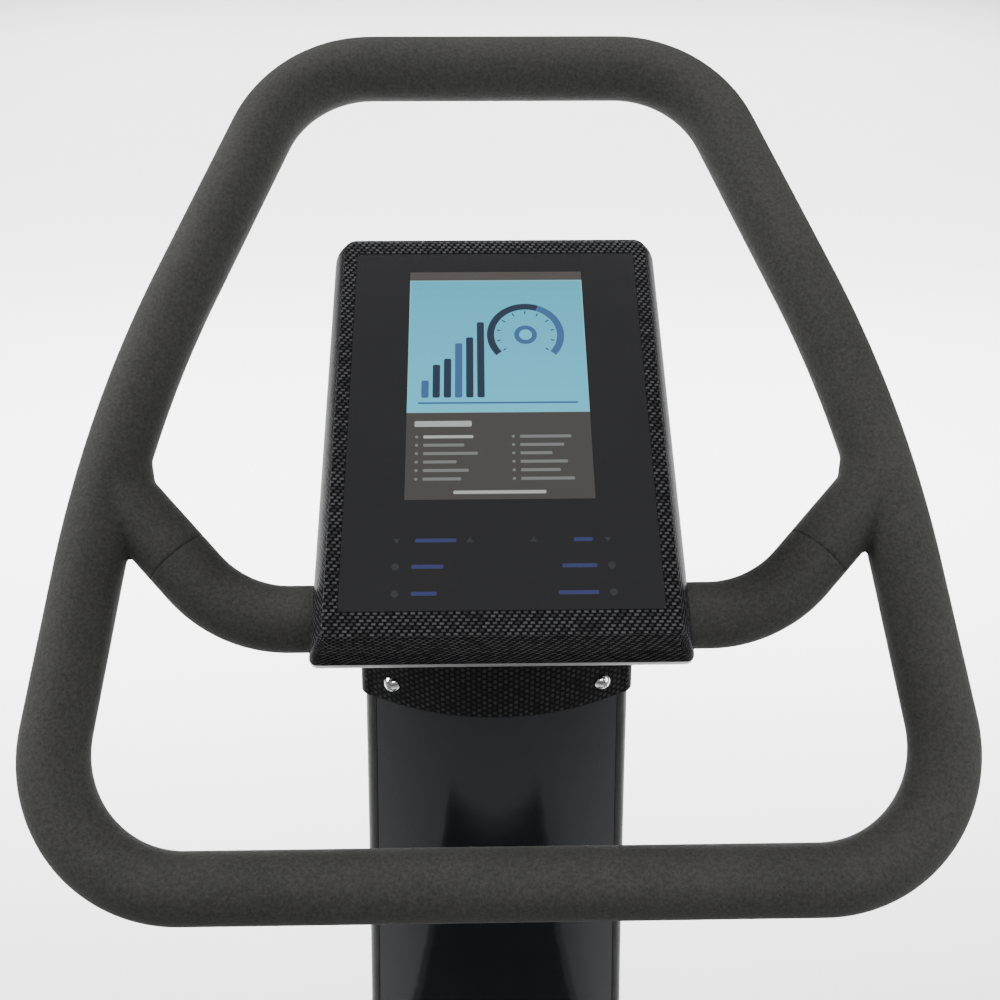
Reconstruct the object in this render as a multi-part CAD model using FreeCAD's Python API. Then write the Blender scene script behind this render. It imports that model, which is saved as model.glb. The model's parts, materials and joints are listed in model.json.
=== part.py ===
"""Vibration plate: a heavy base with a spring-mounted deck, a curved column and a foam-covered grip loop.

Units are millimetres. +Z is up, the user stands at -Y looking towards +Y, and the origin lies on the
floor under the middle of the whole machine. Every function named make_... returns one node's shape.
"""

import FreeCAD
import Part
import math
import os

V = FreeCAD.Vector
X_AXIS = V(1, 0, 0)
Y_AXIS = V(0, 1, 0)
Z_AXIS = V(0, 0, 1)

# ---------------------------------------------------------------- driving dimensions
OVERALL_HEIGHT = 1550.0
OVERALL_LENGTH = 1040.0
SEAT_GAP = 0.2          # between a curved piece and the seat that holds it
COVER_GAP = 0.4         # between neighbouring covers
RUNNING_GAP = 0.05      # round a turning shaft

# Grip loop: one closed bent tube in a foam sleeve, in a plane that rises away from the user.
TUBE_OD = 32.0
TUBE_WALL = 2.5
FOAM_WALL = 7.0
LOOP_TILT = 40.0        # degrees above the horizontal
LOOP_LENGTH = 588.0     # lower bar's axis to upper bar's axis
LOOP_LOWER_HALF = 303.6
LOOP_KNEE_HALF = 264.8
LOOP_KNEE_AT = 310.0    # along the slope, from the lower bar
LOOP_UPPER_HALF = 151.0
TUBE_BEND = 88.0
KNEE_BEND = 820.0

# Cross arm: carries the loop from the neck.
ARM_SETBACK = 309.0     # loop's top bar to the arm, towards the user
ARM_DROP = 278.0        # loop's top bar down to the arm
ARM_HALF = 182.6        # middle to the corner of the bend
ARM_TILT = 48.0         # plane of the arm above the horizontal
ARM_LEG_ANGLE = 48.0    # leg against the middle stretch, in that plane
ARM_LEG = 131.0         # corner to the loop's axis
GROMMET_WIDTH = 4.0
GROMMET_WALL = 3.0

# Console, in its own frame: x across, y up the slope from the near edge, z out of the face.
CONSOLE_SETBACK = 76.5  # arm to the near edge of the face, towards the user
CONSOLE_RISE = 53.4     # arm up to the near edge of the face
CONSOLE_TILT = 25.0
FACE_WIDTH = 218.0
FACE_LENGTH = 311.0
FACE_CORNER = 8.0
FACE_WALL = 5.0
BEZEL_FLARE = 10.7      # how far the foot of the bezel stands out past the face
BEZEL_DEPTH = 27.0
BEZEL_WALL = 3.0
RIM_DEPTH = 3.0
RIM_INSET = 1.0
RIM_WIDTH = 10.0
GLASS_WIDTH = 201.0
GLASS_LENGTH = 280.0
GLASS_MARGIN = 18.6     # near edge of the face to the glass
GLASS_THICKNESS = 2.5
GLASS_CORNER = 3.0
GLASS_LEDGE = 6.0
LCD_WIDTH = 123.0
LCD_LENGTH = 186.0
LCD_FROM = 95.5         # near edge of the face to the picture
LCD_FRAME = 6.0
LCD_DEPTH = 7.0
BOARD_THICKNESS = 1.6
KEY_ROWS = (66.4, 48.3, 30.1)   # touch keys in pairs, up from the near edge of the face
KEY_X = 45.0
KEY_RADIUS = 5.0
BACK_INSET = 25.0       # rim's edge to the side of the tub
BACK_DEPTH = 22.0
BACK_WALL = 2.5
BOSS_RADIUS = 4.5
BOSS_INSET = 10.5       # edge of the face to the screw bosses
CONSOLE_SCREW_R = 1.9

# Column: covers round a curved steel mast, wide at the foot and narrow at the top.
COLUMN_FOOT_Z = 112.0
PANEL_OVERLAP = 53.0        # how far the front panel reaches up inside the cowl
COLUMN_REF_RISE = 1.0       # arm up to the height where the curve stands upright
COLUMN_FRONT = 50.8         # arm back to the front of the column at that height
COLUMN_FRONT_R = 5400.0
COLUMN_REAR = 212.0         # arm back to the back of the column at that height
COLUMN_REAR_R = 3850.0
COLUMN_TOP_HALF = 103.1     # half width at the height of the neck
COLUMN_FOOT_HALF = 155.5    # half width at the foot
COLUMN_NECK_DROP = 49.0     # arm down to the height of the neck
FRONT_BULGE = 26.0
TRIM_WIDTH = 9.0
TRIM_RETURN = 13.0
COVER_WALL = 3.0
REAR_CORNER = 34.0
REAR_NARROWING = 16.0
FORMER_COUNT = 4
FORMER_LOW = 250.0
FORMER_TOP_DROP = 44.0      # mast's top to the highest former
FORMER_THICKNESS = 5.0

# Mast: a rectangular steel tube bent to the column's curve.
MAST_WIDTH = 120.0
MAST_DEPTH = 60.0
MAST_WALL = 4.0
MAST_CORNER = 8.0
MAST_BACK = 127.0       # arm back to the middle of the mast
MAST_R = 4500.0
MAST_DROP = 73.0        # arm down to the mast's top
MAST_FOOT_THICKNESS = 10.0
MAST_HEAD_THICKNESS = 8.0
MAST_FOOT_OVERHANG = 34.0
MAST_HEAD_OVERHANG = 20.0
CABLE_OD = 7.0
CABLE_BEND = 800.0
CABLE_EXIT = 48.0       # pan's underside up to where the lead leaves the mast

# Neck: steel bracket between mast and arm, inside a cowl and a cap.
COWL_DROP = 152.0       # arm down to the cowl's lower edge
COWL_WALL = 2.8
COWL_REAR = 112.0       # arm back to the cowl's rear edge
LEAN_LOW = 91.0         # the front of the cowl leans out to the user between these drops below the arm
LEAN_HIGH = 11.0
NECK_REACH = 30.0       # arm to the front of the neck
NECK_BULGE = 10.0
GUSSET_X = 40.0
GUSSET_THICKNESS = 6.0
GUSSET_REACH = 22.0     # arm to the front of the gussets
NECK_PLATE = 5.0
NECK_PLATE_HALF = 58.0
NECK_PLATE_FROM = 62.0  # up the slope of the console
NECK_PLATE_TO = 252.0
NECK_PLATE_INSET = 12.0
CONSOLE_BOLT_R = 3.0
NECK_BASE = 8.0
COWL_SCREW_X = 85.0
COWL_SCREW_RISE = 20.0
DOME_RADIUS = 7.0
DOME_HEIGHT = 4.4
COWL_SCREW_R = 3.0
SCREW_STANDOFF = 0.3    # a flat screw head on the curved cowl

# Deck: the spring-mounted part that the user stands on.
DECK_WIDTH = 700.0
DECK_COLUMN_GAP = 22.5  # deck's rear edge to the front of the column's foot
DECK_TOP = 159.0
DECK_THICKNESS = 8.0
DECK_CORNER = 42.0
DECK_REAR_CORNER = 16.0
DECK_RIB_DEPTH = 25.0
DECK_RIB_THICKNESS = 5.0
DECK_RIB_INSET = 170.0
MAT_THICKNESS = 6.0
MAT_MARGIN = 30.0
MAT_CORNER = 18.0
MAT_RING_R = 150.0
TRIM_WALL = 4.0
TRIM_BOTTOM = 84.0
TRIM_LIP = 4.0

# Base: a steel pan inside a moulded skirt, with a cover behind the deck.
SKIRT_INSET = 8.0
SKIRT_WALL = 4.0
SKIRT_LIP_WALL = 3.0
SKIRT_BOTTOM = 20.0
SKIRT_TOP = 78.0
SKIRT_LIP_TOP = 100.0
SKIRT_CORNER = 36.0
BASE_BEHIND = 34.0      # column's foot to the back of the base
BASE_REAR_HALF = 215.0
REAR_COVER_GAP = 4.0
REAR_COVER_FRONT_TOP = 154.0
REAR_COVER_REAR_TOP = 134.0
PAN_BOTTOM = 22.0
PAN_THICKNESS = 5.0
PAN_FLANGE_HEIGHT = 24.0
PAN_FLANGE_WALL = 3.0
PAN_GAP = 0.3
MOUNT_SIDE_INSET = 95.0
MOUNT_END_INSET = 92.5
MOUNT_RADIUS = 25.0
MOUNT_HEIGHT = 50.0
MOUNT_PLATE = 3.0
MOUNT_WAIST = 3.5
STUD_R = 5.0
POST_RADIUS = 28.0
POST_WALL = 4.0
POST_CAP = 6.0

# Vibration motors, lying across the machine side by side under the deck.
MOTOR_OFFSET_Y = 78.0
MOTOR_RADIUS = 52.0
MOTOR_BODY = 150.0
MOTOR_WALL = 5.0
MOTOR_AXIS_DROP = 62.0      # deck plate's underside to the shaft
SHIELD = 14.0               # thickness of the wall that holds a bearing
END_COVER = 52.0
END_COVER_WALL = 3.0
SHAFT_RADIUS = 8.5
BEARING_OD = 40.0
BEARING_WIDTH = 12.0
STATOR_BORE = 29.0
STATOR_LENGTH = 80.0
ROTOR_GAP = 0.5
WEIGHT_RADIUS = 40.0
WEIGHT_THICKNESS = 24.0
WEIGHT_HUB = 15.0
FIN_COUNT = 14
FIN_HEIGHT = 5.0
FIN_THICKNESS = 2.6
SADDLE_X = 50.0
SADDLE_WIDTH = 26.0
SADDLE_HALF = 66.0
SADDLE_FLANGE = 12.0
MOTOR_BOLT_R = 5.0

# Levelling feet and transport wheels.
FOOT_RADIUS = 22.0
FOOT_PAD = 10.0
FOOT_STUD_TOP = 62.0
FOOT_BOSS = 12.0
LOCK_NUT = 8.0
FRONT_FOOT_SIDE_INSET = 50.0
FRONT_FOOT_END_INSET = 52.0
REAR_FOOT_X = 215.0
REAR_FOOT_INSET = 112.0
WHEEL_RADIUS = 30.0
WHEEL_WIDTH = 24.0
WHEEL_CLEARANCE = 2.0
WHEEL_X = 150.0
WHEEL_INSET = 10.0      # back of the base to the axle
WHEEL_ROOM = 4.0
AXLE_RADIUS = 5.0
AXLE_HEAD = 1.5
CHEEK = 3.0
WHEEL_SIDE = 1.0        # between wheel and cheek
AXLE_BOSS = 9.0         # round the pin
BRACKET_FOOT = 22.0     # length of a cheek on the pan, and of its shoulder

# Inverter under the deck, mains inlet and rocker switch at the back.
INVERTER_HALF = 100.0
INVERTER_LENGTH = 92.0
INVERTER_HEIGHT = 62.0
INVERTER_GAP = 17.5     # inverter to the mast's foot
POWER_Z = 49.0
POWER_PLATE_HALF = 52.0
POWER_PLATE_HEIGHT = 40.0
POWER_PLATE_THICKNESS = 2.0
POWER_OPENING = 14.0    # half height of the opening behind the plate
INLET_X = 24.0
SWITCH_X = -24.0
ROCKER_TILT = 8.0

# Strap hook low on the front of the column.
HOOK_Z = 490.0
HOOK_HALF = 20.0
HOOK_REACH = 24.0
HOOK_RISE = 16.0
HOOK_ROD = 4.0

# ---------------------------------------------------------------- worked-out places
TUBE_R = TUBE_OD / 2
FOAM_R = TUBE_R + FOAM_WALL
LOOP_TOP_Y = OVERALL_LENGTH / 2 - FOAM_R
LOOP_TOP_Z = OVERALL_HEIGHT - FOAM_R
ARM_Y = LOOP_TOP_Y - ARM_SETBACK
ARM_Z = LOOP_TOP_Z - ARM_DROP
CONSOLE_Y = ARM_Y - CONSOLE_SETBACK
CONSOLE_Z = ARM_Z + CONSOLE_RISE
CONSOLE_DEPTH = BEZEL_DEPTH + RIM_DEPTH + BACK_DEPTH
RIM_BOTTOM = BEZEL_DEPTH + RIM_DEPTH
BOARD_BACK = GLASS_THICKNESS + LCD_DEPTH + BOARD_THICKNESS
COLUMN_REF_Z = ARM_Z + COLUMN_REF_RISE
COLUMN_NECK_Z = ARM_Z - COLUMN_NECK_DROP
COLUMN_REAR_Y = ARM_Y + COLUMN_REAR
COWL_BOTTOM = ARM_Z - COWL_DROP
COWL_REAR_Y = ARM_Y + COWL_REAR
PANEL_TOP_Z = COWL_BOTTOM + PANEL_OVERLAP
MAST_TOP = ARM_Z - MAST_DROP
PAN_TOP = PAN_BOTTOM + PAN_THICKNESS
BEYOND = OVERALL_HEIGHT + OVERALL_LENGTH + DECK_WIDTH   # longer than anything that is cut


def arc_y(y_top, radius, z):
    """Y of a curve that stands upright at COLUMN_REF_Z and swings to the user below it."""
    return y_top - radius + math.sqrt(radius ** 2 - (COLUMN_REF_Z - z) ** 2)


def front_y(z):
    return arc_y(ARM_Y + COLUMN_FRONT, COLUMN_FRONT_R, z)


def rear_y(z):
    return arc_y(COLUMN_REAR_Y, COLUMN_REAR_R, z)


def mast_y(z):
    return arc_y(ARM_Y + MAST_BACK, MAST_R, z)


def column_half(z):
    """Half width of the column: straight sides from foot to neck and on upwards."""
    rise = (COLUMN_NECK_Z - z) / (COLUMN_NECK_Z - COLUMN_FOOT_Z)
    return COLUMN_TOP_HALF + (COLUMN_FOOT_HALF - COLUMN_TOP_HALF) * rise


DECK_FRONT_Y = -OVERALL_LENGTH / 2
DECK_REAR_Y = front_y(COLUMN_FOOT_Z) - DECK_COLUMN_GAP
DECK_CENTRE_Y = (DECK_FRONT_Y + DECK_REAR_Y) / 2
DECK_UNDERSIDE = DECK_TOP - DECK_THICKNESS
DECK_RIB_X = DECK_WIDTH / 2 - DECK_RIB_INSET
BASE_REAR_Y = rear_y(COLUMN_FOOT_Z) + BASE_BEHIND
POST_TOP = DECK_UNDERSIDE - MOUNT_HEIGHT
MOTOR_Z = DECK_UNDERSIDE - MOTOR_AXIS_DROP
MOTOR_HALF = MOTOR_BODY / 2
MOTOR_YS = {"front": DECK_CENTRE_Y - MOTOR_OFFSET_Y, "rear": DECK_CENTRE_Y + MOTOR_OFFSET_Y}
MOUNT_X = DECK_WIDTH / 2 - MOUNT_SIDE_INSET
MOUNT_YS = (DECK_FRONT_Y + MOUNT_END_INSET, DECK_REAR_Y - MOUNT_END_INSET)
MOUNT_POINTS = [(x, y) for y in MOUNT_YS for x in (-MOUNT_X, MOUNT_X)]
FRONT_FOOT_X = DECK_WIDTH / 2 - FRONT_FOOT_SIDE_INSET
FRONT_FOOT_Y = DECK_FRONT_Y + FRONT_FOOT_END_INSET
REAR_FOOT_Y = BASE_REAR_Y - REAR_FOOT_INSET
FOOT_POINTS = {
    "front_left": (-FRONT_FOOT_X, FRONT_FOOT_Y),
    "front_right": (FRONT_FOOT_X, FRONT_FOOT_Y),
    "rear_left": (-REAR_FOOT_X, REAR_FOOT_Y),
    "rear_right": (REAR_FOOT_X, REAR_FOOT_Y),
}
INVERTER_REAR_Y = mast_y(PAN_TOP) - MAST_DEPTH / 2 - MAST_FOOT_OVERHANG - INVERTER_GAP
WHEEL_Y = BASE_REAR_Y - WHEEL_INSET
WHEEL_Z = WHEEL_RADIUS + WHEEL_CLEARANCE


# ---------------------------------------------------------------- small helpers
def box(x0, x1, y0, y1, z0, z1):
    """Block between two corners."""
    return Part.makeBox(x1 - x0, y1 - y0, z1 - z0, V(x0, y0, z0))


def cylinder(radius, length, base, axis=Z_AXIS):
    """Round bar from base along axis."""
    return Part.makeCylinder(radius, length, base, axis)


def ring(outer, inner, length, base, axis=Z_AXIS):
    """Tube or washer from base along axis."""
    return cylinder(outer, length, base, axis).cut(cylinder(inner, length, base, axis))


def joined(shapes):
    """One solid from touching shapes."""
    whole = shapes[0]
    if len(shapes) > 1:
        whole = whole.fuse(shapes[1:])
    return whole.removeSplitter()


def without(shape, cutters):
    """Shape less all the cutters."""
    return shape.cut(list(cutters))


def group(shapes):
    """Several separate solids as one node."""
    return Part.makeCompound([solid for shape in shapes for solid in shape.Solids])


def mirrored(shape):
    """The same piece on the other side of the machine."""
    return shape.mirror(V(0, 0, 0), X_AXIS)


def both_sides(shape):
    """A left and a right copy as one node."""
    return group([shape, mirrored(shape)])


def rounded_wire(points, radii):
    """Closed wire through the points, each corner an arc of its radius."""
    count = len(points)
    starts = []
    ends = []
    arcs = []
    for i, corner in enumerate(points):
        to_last = (points[i - 1] - corner).normalize()
        to_next = (points[(i + 1) % count] - corner).normalize()
        radius = radii[i] if isinstance(radii, (list, tuple)) else radii
        half = to_last.getAngle(to_next) / 2
        if radius <= 0:
            starts.append(corner)
            ends.append(corner)
            arcs.append(None)
            continue
        reach = radius / math.tan(half)
        middle = (to_last + to_next).normalize()
        centre = corner + middle * (radius / math.sin(half))
        starts.append(corner + to_last * reach)
        ends.append(corner + to_next * reach)
        arcs.append(centre - middle * radius)
    edges = []
    for i in range(count):
        if arcs[i] is not None:
            edges.append(Part.Arc(starts[i], arcs[i], ends[i]).toShape())
        following = starts[(i + 1) % count]
        if ends[i].distanceToPoint(following) > 1e-6:
            edges.append(Part.LineSegment(ends[i], following).toShape())
    return Part.Wire(edges)


def flat_plate(points, radii, z0, z1):
    """Plate with a rounded outline, from z0 to z1. Points are (x, y)."""
    wire = rounded_wire([V(x, y, z0) for x, y in points], radii)
    return Part.Face(wire).extrude(V(0, 0, z1 - z0))


def side_plate(points, radii, x0, x1):
    """Plate with a rounded outline seen from the side, from x0 to x1. Points are (y, z)."""
    wire = rounded_wire([V(x0, y, z) for y, z in points], radii)
    return Part.Face(wire).extrude(V(x1 - x0, 0, 0))


def rectangle(half_x, y0, y1):
    """Corners of a rectangle centred across the machine."""
    return [(-half_x, y0), (half_x, y0), (half_x, y1), (-half_x, y1)]


def lofted(sections):
    """Smooth solid through closed sections with matching edges."""
    return Part.makeLoft(sections, True, False)


def bolt(radius, length, seat, direction):
    """Hexagon-head bolt: the head stands out of the seat along direction, the shank goes in."""
    head_radius = radius * 1.8
    head_height = radius * 1.28
    shank = cylinder(radius, length, seat, direction * -1)
    corners = Part.makePolygon([
        V(head_radius * math.cos(math.radians(60 * i)), head_radius * math.sin(math.radians(60 * i)), 0)
        for i in range(7)
    ])
    head = Part.Face(corners).extrude(V(0, 0, head_height))
    head.Placement = FreeCAD.Placement(seat, FreeCAD.Rotation(Z_AXIS, direction))
    return joined([head, shank])


def dome_screw(radius, height, shank_radius, shank_length, seat, direction):
    """Button-head screw with a hexagon socket."""
    sphere_r = (radius ** 2 + height ** 2) / (2 * height)
    ball = Part.makeSphere(sphere_r, V(0, 0, height - sphere_r))
    head = ball.common(cylinder(radius, height, V(0, 0, 0)))
    corners = Part.makePolygon([
        V(radius * 0.36 * math.cos(math.radians(60 * i)), radius * 0.36 * math.sin(math.radians(60 * i)), 0)
        for i in range(7)
    ])
    socket = Part.Face(corners).extrude(V(0, 0, height)).translated(V(0, 0, height * 0.45))
    shank = cylinder(shank_radius, shank_length, V(0, 0, -shank_length))
    screw = joined([head.cut(socket), shank])
    screw.Placement = FreeCAD.Placement(seat, FreeCAD.Rotation(Z_AXIS, direction))
    return screw


# ---------------------------------------------------------------- grip loop and arm
def loop_point(x, along):
    """Point in the loop's plane: x across, along up the slope from the lower bar."""
    tilt = math.radians(LOOP_TILT)
    y = LOOP_TOP_Y - (LOOP_LENGTH - along) * math.cos(tilt)
    z = LOOP_TOP_Z - (LOOP_LENGTH - along) * math.sin(tilt)
    return V(x, y, z)


def loop_wire():
    """Axis of the loop's tube."""
    corners = [
        loop_point(-LOOP_LOWER_HALF, 0),
        loop_point(LOOP_LOWER_HALF, 0),
        loop_point(LOOP_KNEE_HALF, LOOP_KNEE_AT),
        loop_point(LOOP_UPPER_HALF, LOOP_LENGTH),
        loop_point(-LOOP_UPPER_HALF, LOOP_LENGTH),
        loop_point(-LOOP_KNEE_HALF, LOOP_KNEE_AT),
    ]
    return rounded_wire(corners, [TUBE_BEND, TUBE_BEND, KNEE_BEND, TUBE_BEND, TUBE_BEND, KNEE_BEND])


def swept(wire, radius):
    """Round bar along a smooth path."""
    first = wire.OrderedEdges[0]
    start = first.valueAt(first.FirstParameter)
    direction = first.tangentAt(first.FirstParameter)
    if first.Orientation == "Reversed":
        start = first.valueAt(first.LastParameter)
        direction = first.tangentAt(first.LastParameter) * -1
    profile = Part.Wire([Part.Circle(start, direction, radius).toShape()])
    return wire.makePipeShell([profile], True, False)


def arm_point(x, rise):
    """Point in the arm's plane: x across, rise up that plane from the middle stretch."""
    tilt = math.radians(ARM_TILT)
    return V(x, ARM_Y + rise * math.cos(tilt), ARM_Z + rise * math.sin(tilt))


def arm_end():
    """Where the arm's axis meets the loop's axis on the +X side."""
    leg = math.radians(ARM_LEG_ANGLE)
    return arm_point(ARM_HALF + ARM_LEG * math.cos(leg), ARM_LEG * math.sin(leg))


def arm_wire(from_x=0.0):
    """Axis of the arm's +X side, from from_x out to the loop."""
    corner = arm_point(ARM_HALF, 0)
    reach = TUBE_BEND * math.tan(math.radians(ARM_LEG_ANGLE) / 2)
    inward = V(-1, 0, 0)
    outward = (arm_end() - corner).normalize()
    bend_in = corner + inward * reach
    bend_out = corner + outward * reach
    middle = (inward + outward).normalize()
    half = inward.getAngle(outward) / 2
    centre = corner + middle * (TUBE_BEND / math.sin(half))
    crown = centre - middle * TUBE_BEND
    start = arm_point(from_x, 0)
    edges = [
        Part.LineSegment(start, bend_in).toShape(),
        Part.Arc(bend_in, crown, bend_out).toShape(),
        Part.LineSegment(bend_out, arm_end()).toShape(),
    ]
    return Part.Wire(edges)


def make_grip_loop_tube():
    wire = loop_wire()
    return swept(wire, TUBE_R).cut(swept(wire, TUBE_R - TUBE_WALL))


def make_cross_arm():
    half = swept(arm_wire(), TUBE_R)
    hollow = swept(arm_wire(), TUBE_R - TUBE_WALL)
    whole = joined([half, mirrored(half)])
    bores = [hollow, mirrored(hollow), cylinder(TUBE_R - TUBE_WALL, 2, V(-1, ARM_Y, ARM_Z), X_AXIS)]
    return without(whole, bores + [swept(loop_wire(), TUBE_R)])


def make_loop_foam():
    wire = loop_wire()
    sleeve = swept(wire, FOAM_R).cut(swept(wire, TUBE_R + SEAT_GAP))
    leg = swept(arm_wire(ARM_HALF / 2), TUBE_R + SEAT_GAP)
    return without(sleeve, [leg, mirrored(leg)])


def make_arm_foam():
    wire = arm_wire(neck_side() + GROMMET_WIDTH + SEAT_GAP)
    sleeve = swept(wire, FOAM_R).cut(swept(wire, TUBE_R + SEAT_GAP))
    return sleeve.cut(swept(loop_wire(), FOAM_R + SEAT_GAP))


def make_arm_grommets():
    """Rubber rings that close the cowl round the arm and end the foam."""
    side = neck_side()
    flange = ring(FOAM_R - 1, TUBE_R + SEAT_GAP, GROMMET_WIDTH, V(side, ARM_Y, ARM_Z), X_AXIS)
    inner = side - COWL_WALL - 2
    spigot = ring(TUBE_R + GROMMET_WALL, TUBE_R + SEAT_GAP, side - inner, V(inner, ARM_Y, ARM_Z), X_AXIS)
    return both_sides(joined([flange, spigot]))


# ---------------------------------------------------------------- column
def levels(low, high, count=7):
    return [low + (high - low) * i / (count - 1) for i in range(count)]


def line(a, b):
    return Part.LineSegment(a, b).toShape()


def arc(a, middle, b):
    return Part.Arc(a, middle, b).toShape()


def across(half, y, bulge, z, rightwards=True):
    """Convex edge across the front, bulging towards the user."""
    left = V(-half, y + bulge, z)
    right = V(half, y + bulge, z)
    middle = V(0, y, z)
    return arc(left, middle, right) if rightwards else arc(right, middle, left)


def flip(point):
    return V(-point.x, point.y, point.z)


def panel_section(z):
    """Section of the glossy front panel at height z."""
    half = column_half(z) - TRIM_WIDTH
    outer = front_y(z)
    inner = outer + COVER_WALL
    return Part.Wire([
        across(half, outer, FRONT_BULGE, z),
        line(V(half, outer + FRONT_BULGE, z), V(half, inner + FRONT_BULGE, z)),
        across(half, inner, FRONT_BULGE, z, False),
        line(V(-half, inner + FRONT_BULGE, z), V(-half, outer + FRONT_BULGE, z)),
    ])


def trim_section(z):
    """Section of the black edge strip on the +X side: round the corner from the panel to the side."""
    outer = column_half(z)
    inner = outer - TRIM_WIDTH + COVER_GAP
    y = front_y(z) + FRONT_BULGE
    crown = V(inner + TRIM_WIDTH * 0.74, y + TRIM_RETURN * 0.26, z)
    a = V(inner, y, z)
    b = V(outer, y + TRIM_RETURN, z)
    c = V(outer - COVER_WALL, y + TRIM_RETURN, z)
    d = V(inner, y + COVER_WALL, z)
    return Part.Wire([arc(a, crown, b), line(b, c), line(c, d), line(d, a)])


def rear_side(z, inset):
    """Side of the rear shell at height z, inset from outside: front end, corner start, crown, corner end."""
    half = column_half(z) - inset
    front = front_y(z) + FRONT_BULGE + TRIM_RETURN + COVER_GAP
    rear = rear_y(z) - inset
    corner = REAR_CORNER - inset
    narrow = half - REAR_NARROWING
    bow = corner * (1 - math.sqrt(0.5))
    return [V(half, front, z), V(narrow, rear - corner, z), V(narrow - bow, rear - bow, z),
            V(narrow - corner, rear, z)]


def rear_section(z):
    """Section of the rear shell: two sides and a rounded back, open to the front."""
    a, b, b_mid, c = rear_side(z, 0)
    d, e, e_mid, f = rear_side(z, COVER_WALL)
    return Part.Wire([
        line(a, b), arc(b, b_mid, c), line(c, flip(c)), arc(flip(c), flip(b_mid), flip(b)), line(flip(b),
                                                                                                 flip(a)),
        line(flip(a), flip(d)), line(flip(d), flip(e)), arc(flip(e), flip(e_mid), flip(f)), line(flip(f), f),
        arc(f, e_mid, e), line(e, d), line(d, a),
    ])


def outline_section(z, inset):
    """Closed section through the whole column, inset from the outside of its covers."""
    half = column_half(z) - TRIM_WIDTH
    y = front_y(z) + inset
    side = rear_side(z, inset)
    edge = [V(half, y + FRONT_BULGE, z), side[0]]
    return Part.Wire([
        across(half, y, FRONT_BULGE, z),
        line(edge[0], edge[1]), line(side[0], side[1]), arc(side[1], side[2], side[3]),
        line(side[3], flip(side[3])),
        arc(flip(side[3]), flip(side[2]), flip(side[1])), line(flip(side[1]), flip(side[0])),
        line(flip(edge[1]), flip(edge[0])),
    ])


def make_column_front_panel():
    panel = lofted([panel_section(z) for z in levels(COLUMN_FOOT_Z, PANEL_TOP_Z)])
    return without(panel, [cylinder(COWL_SCREW_R + SEAT_GAP, 60, seat - out * 40, out)
                           for seat, out in cowl_screw_seats()] + hook_studs(SEAT_GAP))


def make_column_trim():
    return lofted([trim_section(z) for z in levels(COLUMN_FOOT_Z, PANEL_TOP_Z)])


def make_column_rear_shell():
    tall = console_plane_z(COLUMN_REAR_Y, CONSOLE_DEPTH) + 10
    shell = lofted([rear_section(z) for z in levels(COLUMN_FOOT_Z, tall, 8)])
    return shell.cut(above_console_back())


def make_column_formers():
    """Plates round the mast that hold the covers."""
    plates = []
    for z in levels(FORMER_LOW, MAST_TOP - FORMER_TOP_DROP, FORMER_COUNT):
        inset = COVER_WALL + SEAT_GAP
        plate = Part.makeLoft([outline_section(z, inset), outline_section(z + FORMER_THICKNESS, inset)],
                              True, True)
        plates.append(plate.cut(mast_bar(0, z - 1, z + FORMER_THICKNESS + 1)))
    return group(plates)


# ---------------------------------------------------------------- mast and cable
def mast_bar(grow, low=PAN_TOP + MAST_FOOT_THICKNESS, high=MAST_TOP, count=5):
    """Solid bar with the mast's outline between two heights, grown on every side."""
    half_x = MAST_WIDTH / 2 + grow
    half_y = MAST_DEPTH / 2 + grow
    corners = [(-half_x, -half_y), (half_x, -half_y), (half_x, half_y), (-half_x, half_y)]
    sections = [
        rounded_wire([V(x, mast_y(z) + y, z) for x, y in corners], MAST_CORNER + grow)
        for z in levels(low, high, count)
    ]
    return lofted(sections)


def mast_foot_holes():
    reach_x = MAST_WIDTH / 2 + MAST_FOOT_OVERHANG / 2
    reach_y = MAST_DEPTH / 2 + MAST_FOOT_OVERHANG / 2
    return [(x, mast_y(PAN_TOP) + y) for x in (-reach_x, reach_x) for y in (-reach_y, reach_y)]


def neck_holes():
    reach = MAST_DEPTH / 2 + MAST_HEAD_OVERHANG / 2
    side = GUSSET_X / 2
    return [(x, mast_y(MAST_TOP) + y) for x in (-side, side) for y in (-reach, reach)]


def head_plate(z0, z1, overhang):
    y = mast_y(MAST_TOP)
    half_y = MAST_DEPTH / 2 + overhang
    return flat_plate(rectangle(MAST_WIDTH / 2 + 4, y - half_y, y + half_y), MAST_CORNER, z0, z1)


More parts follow.
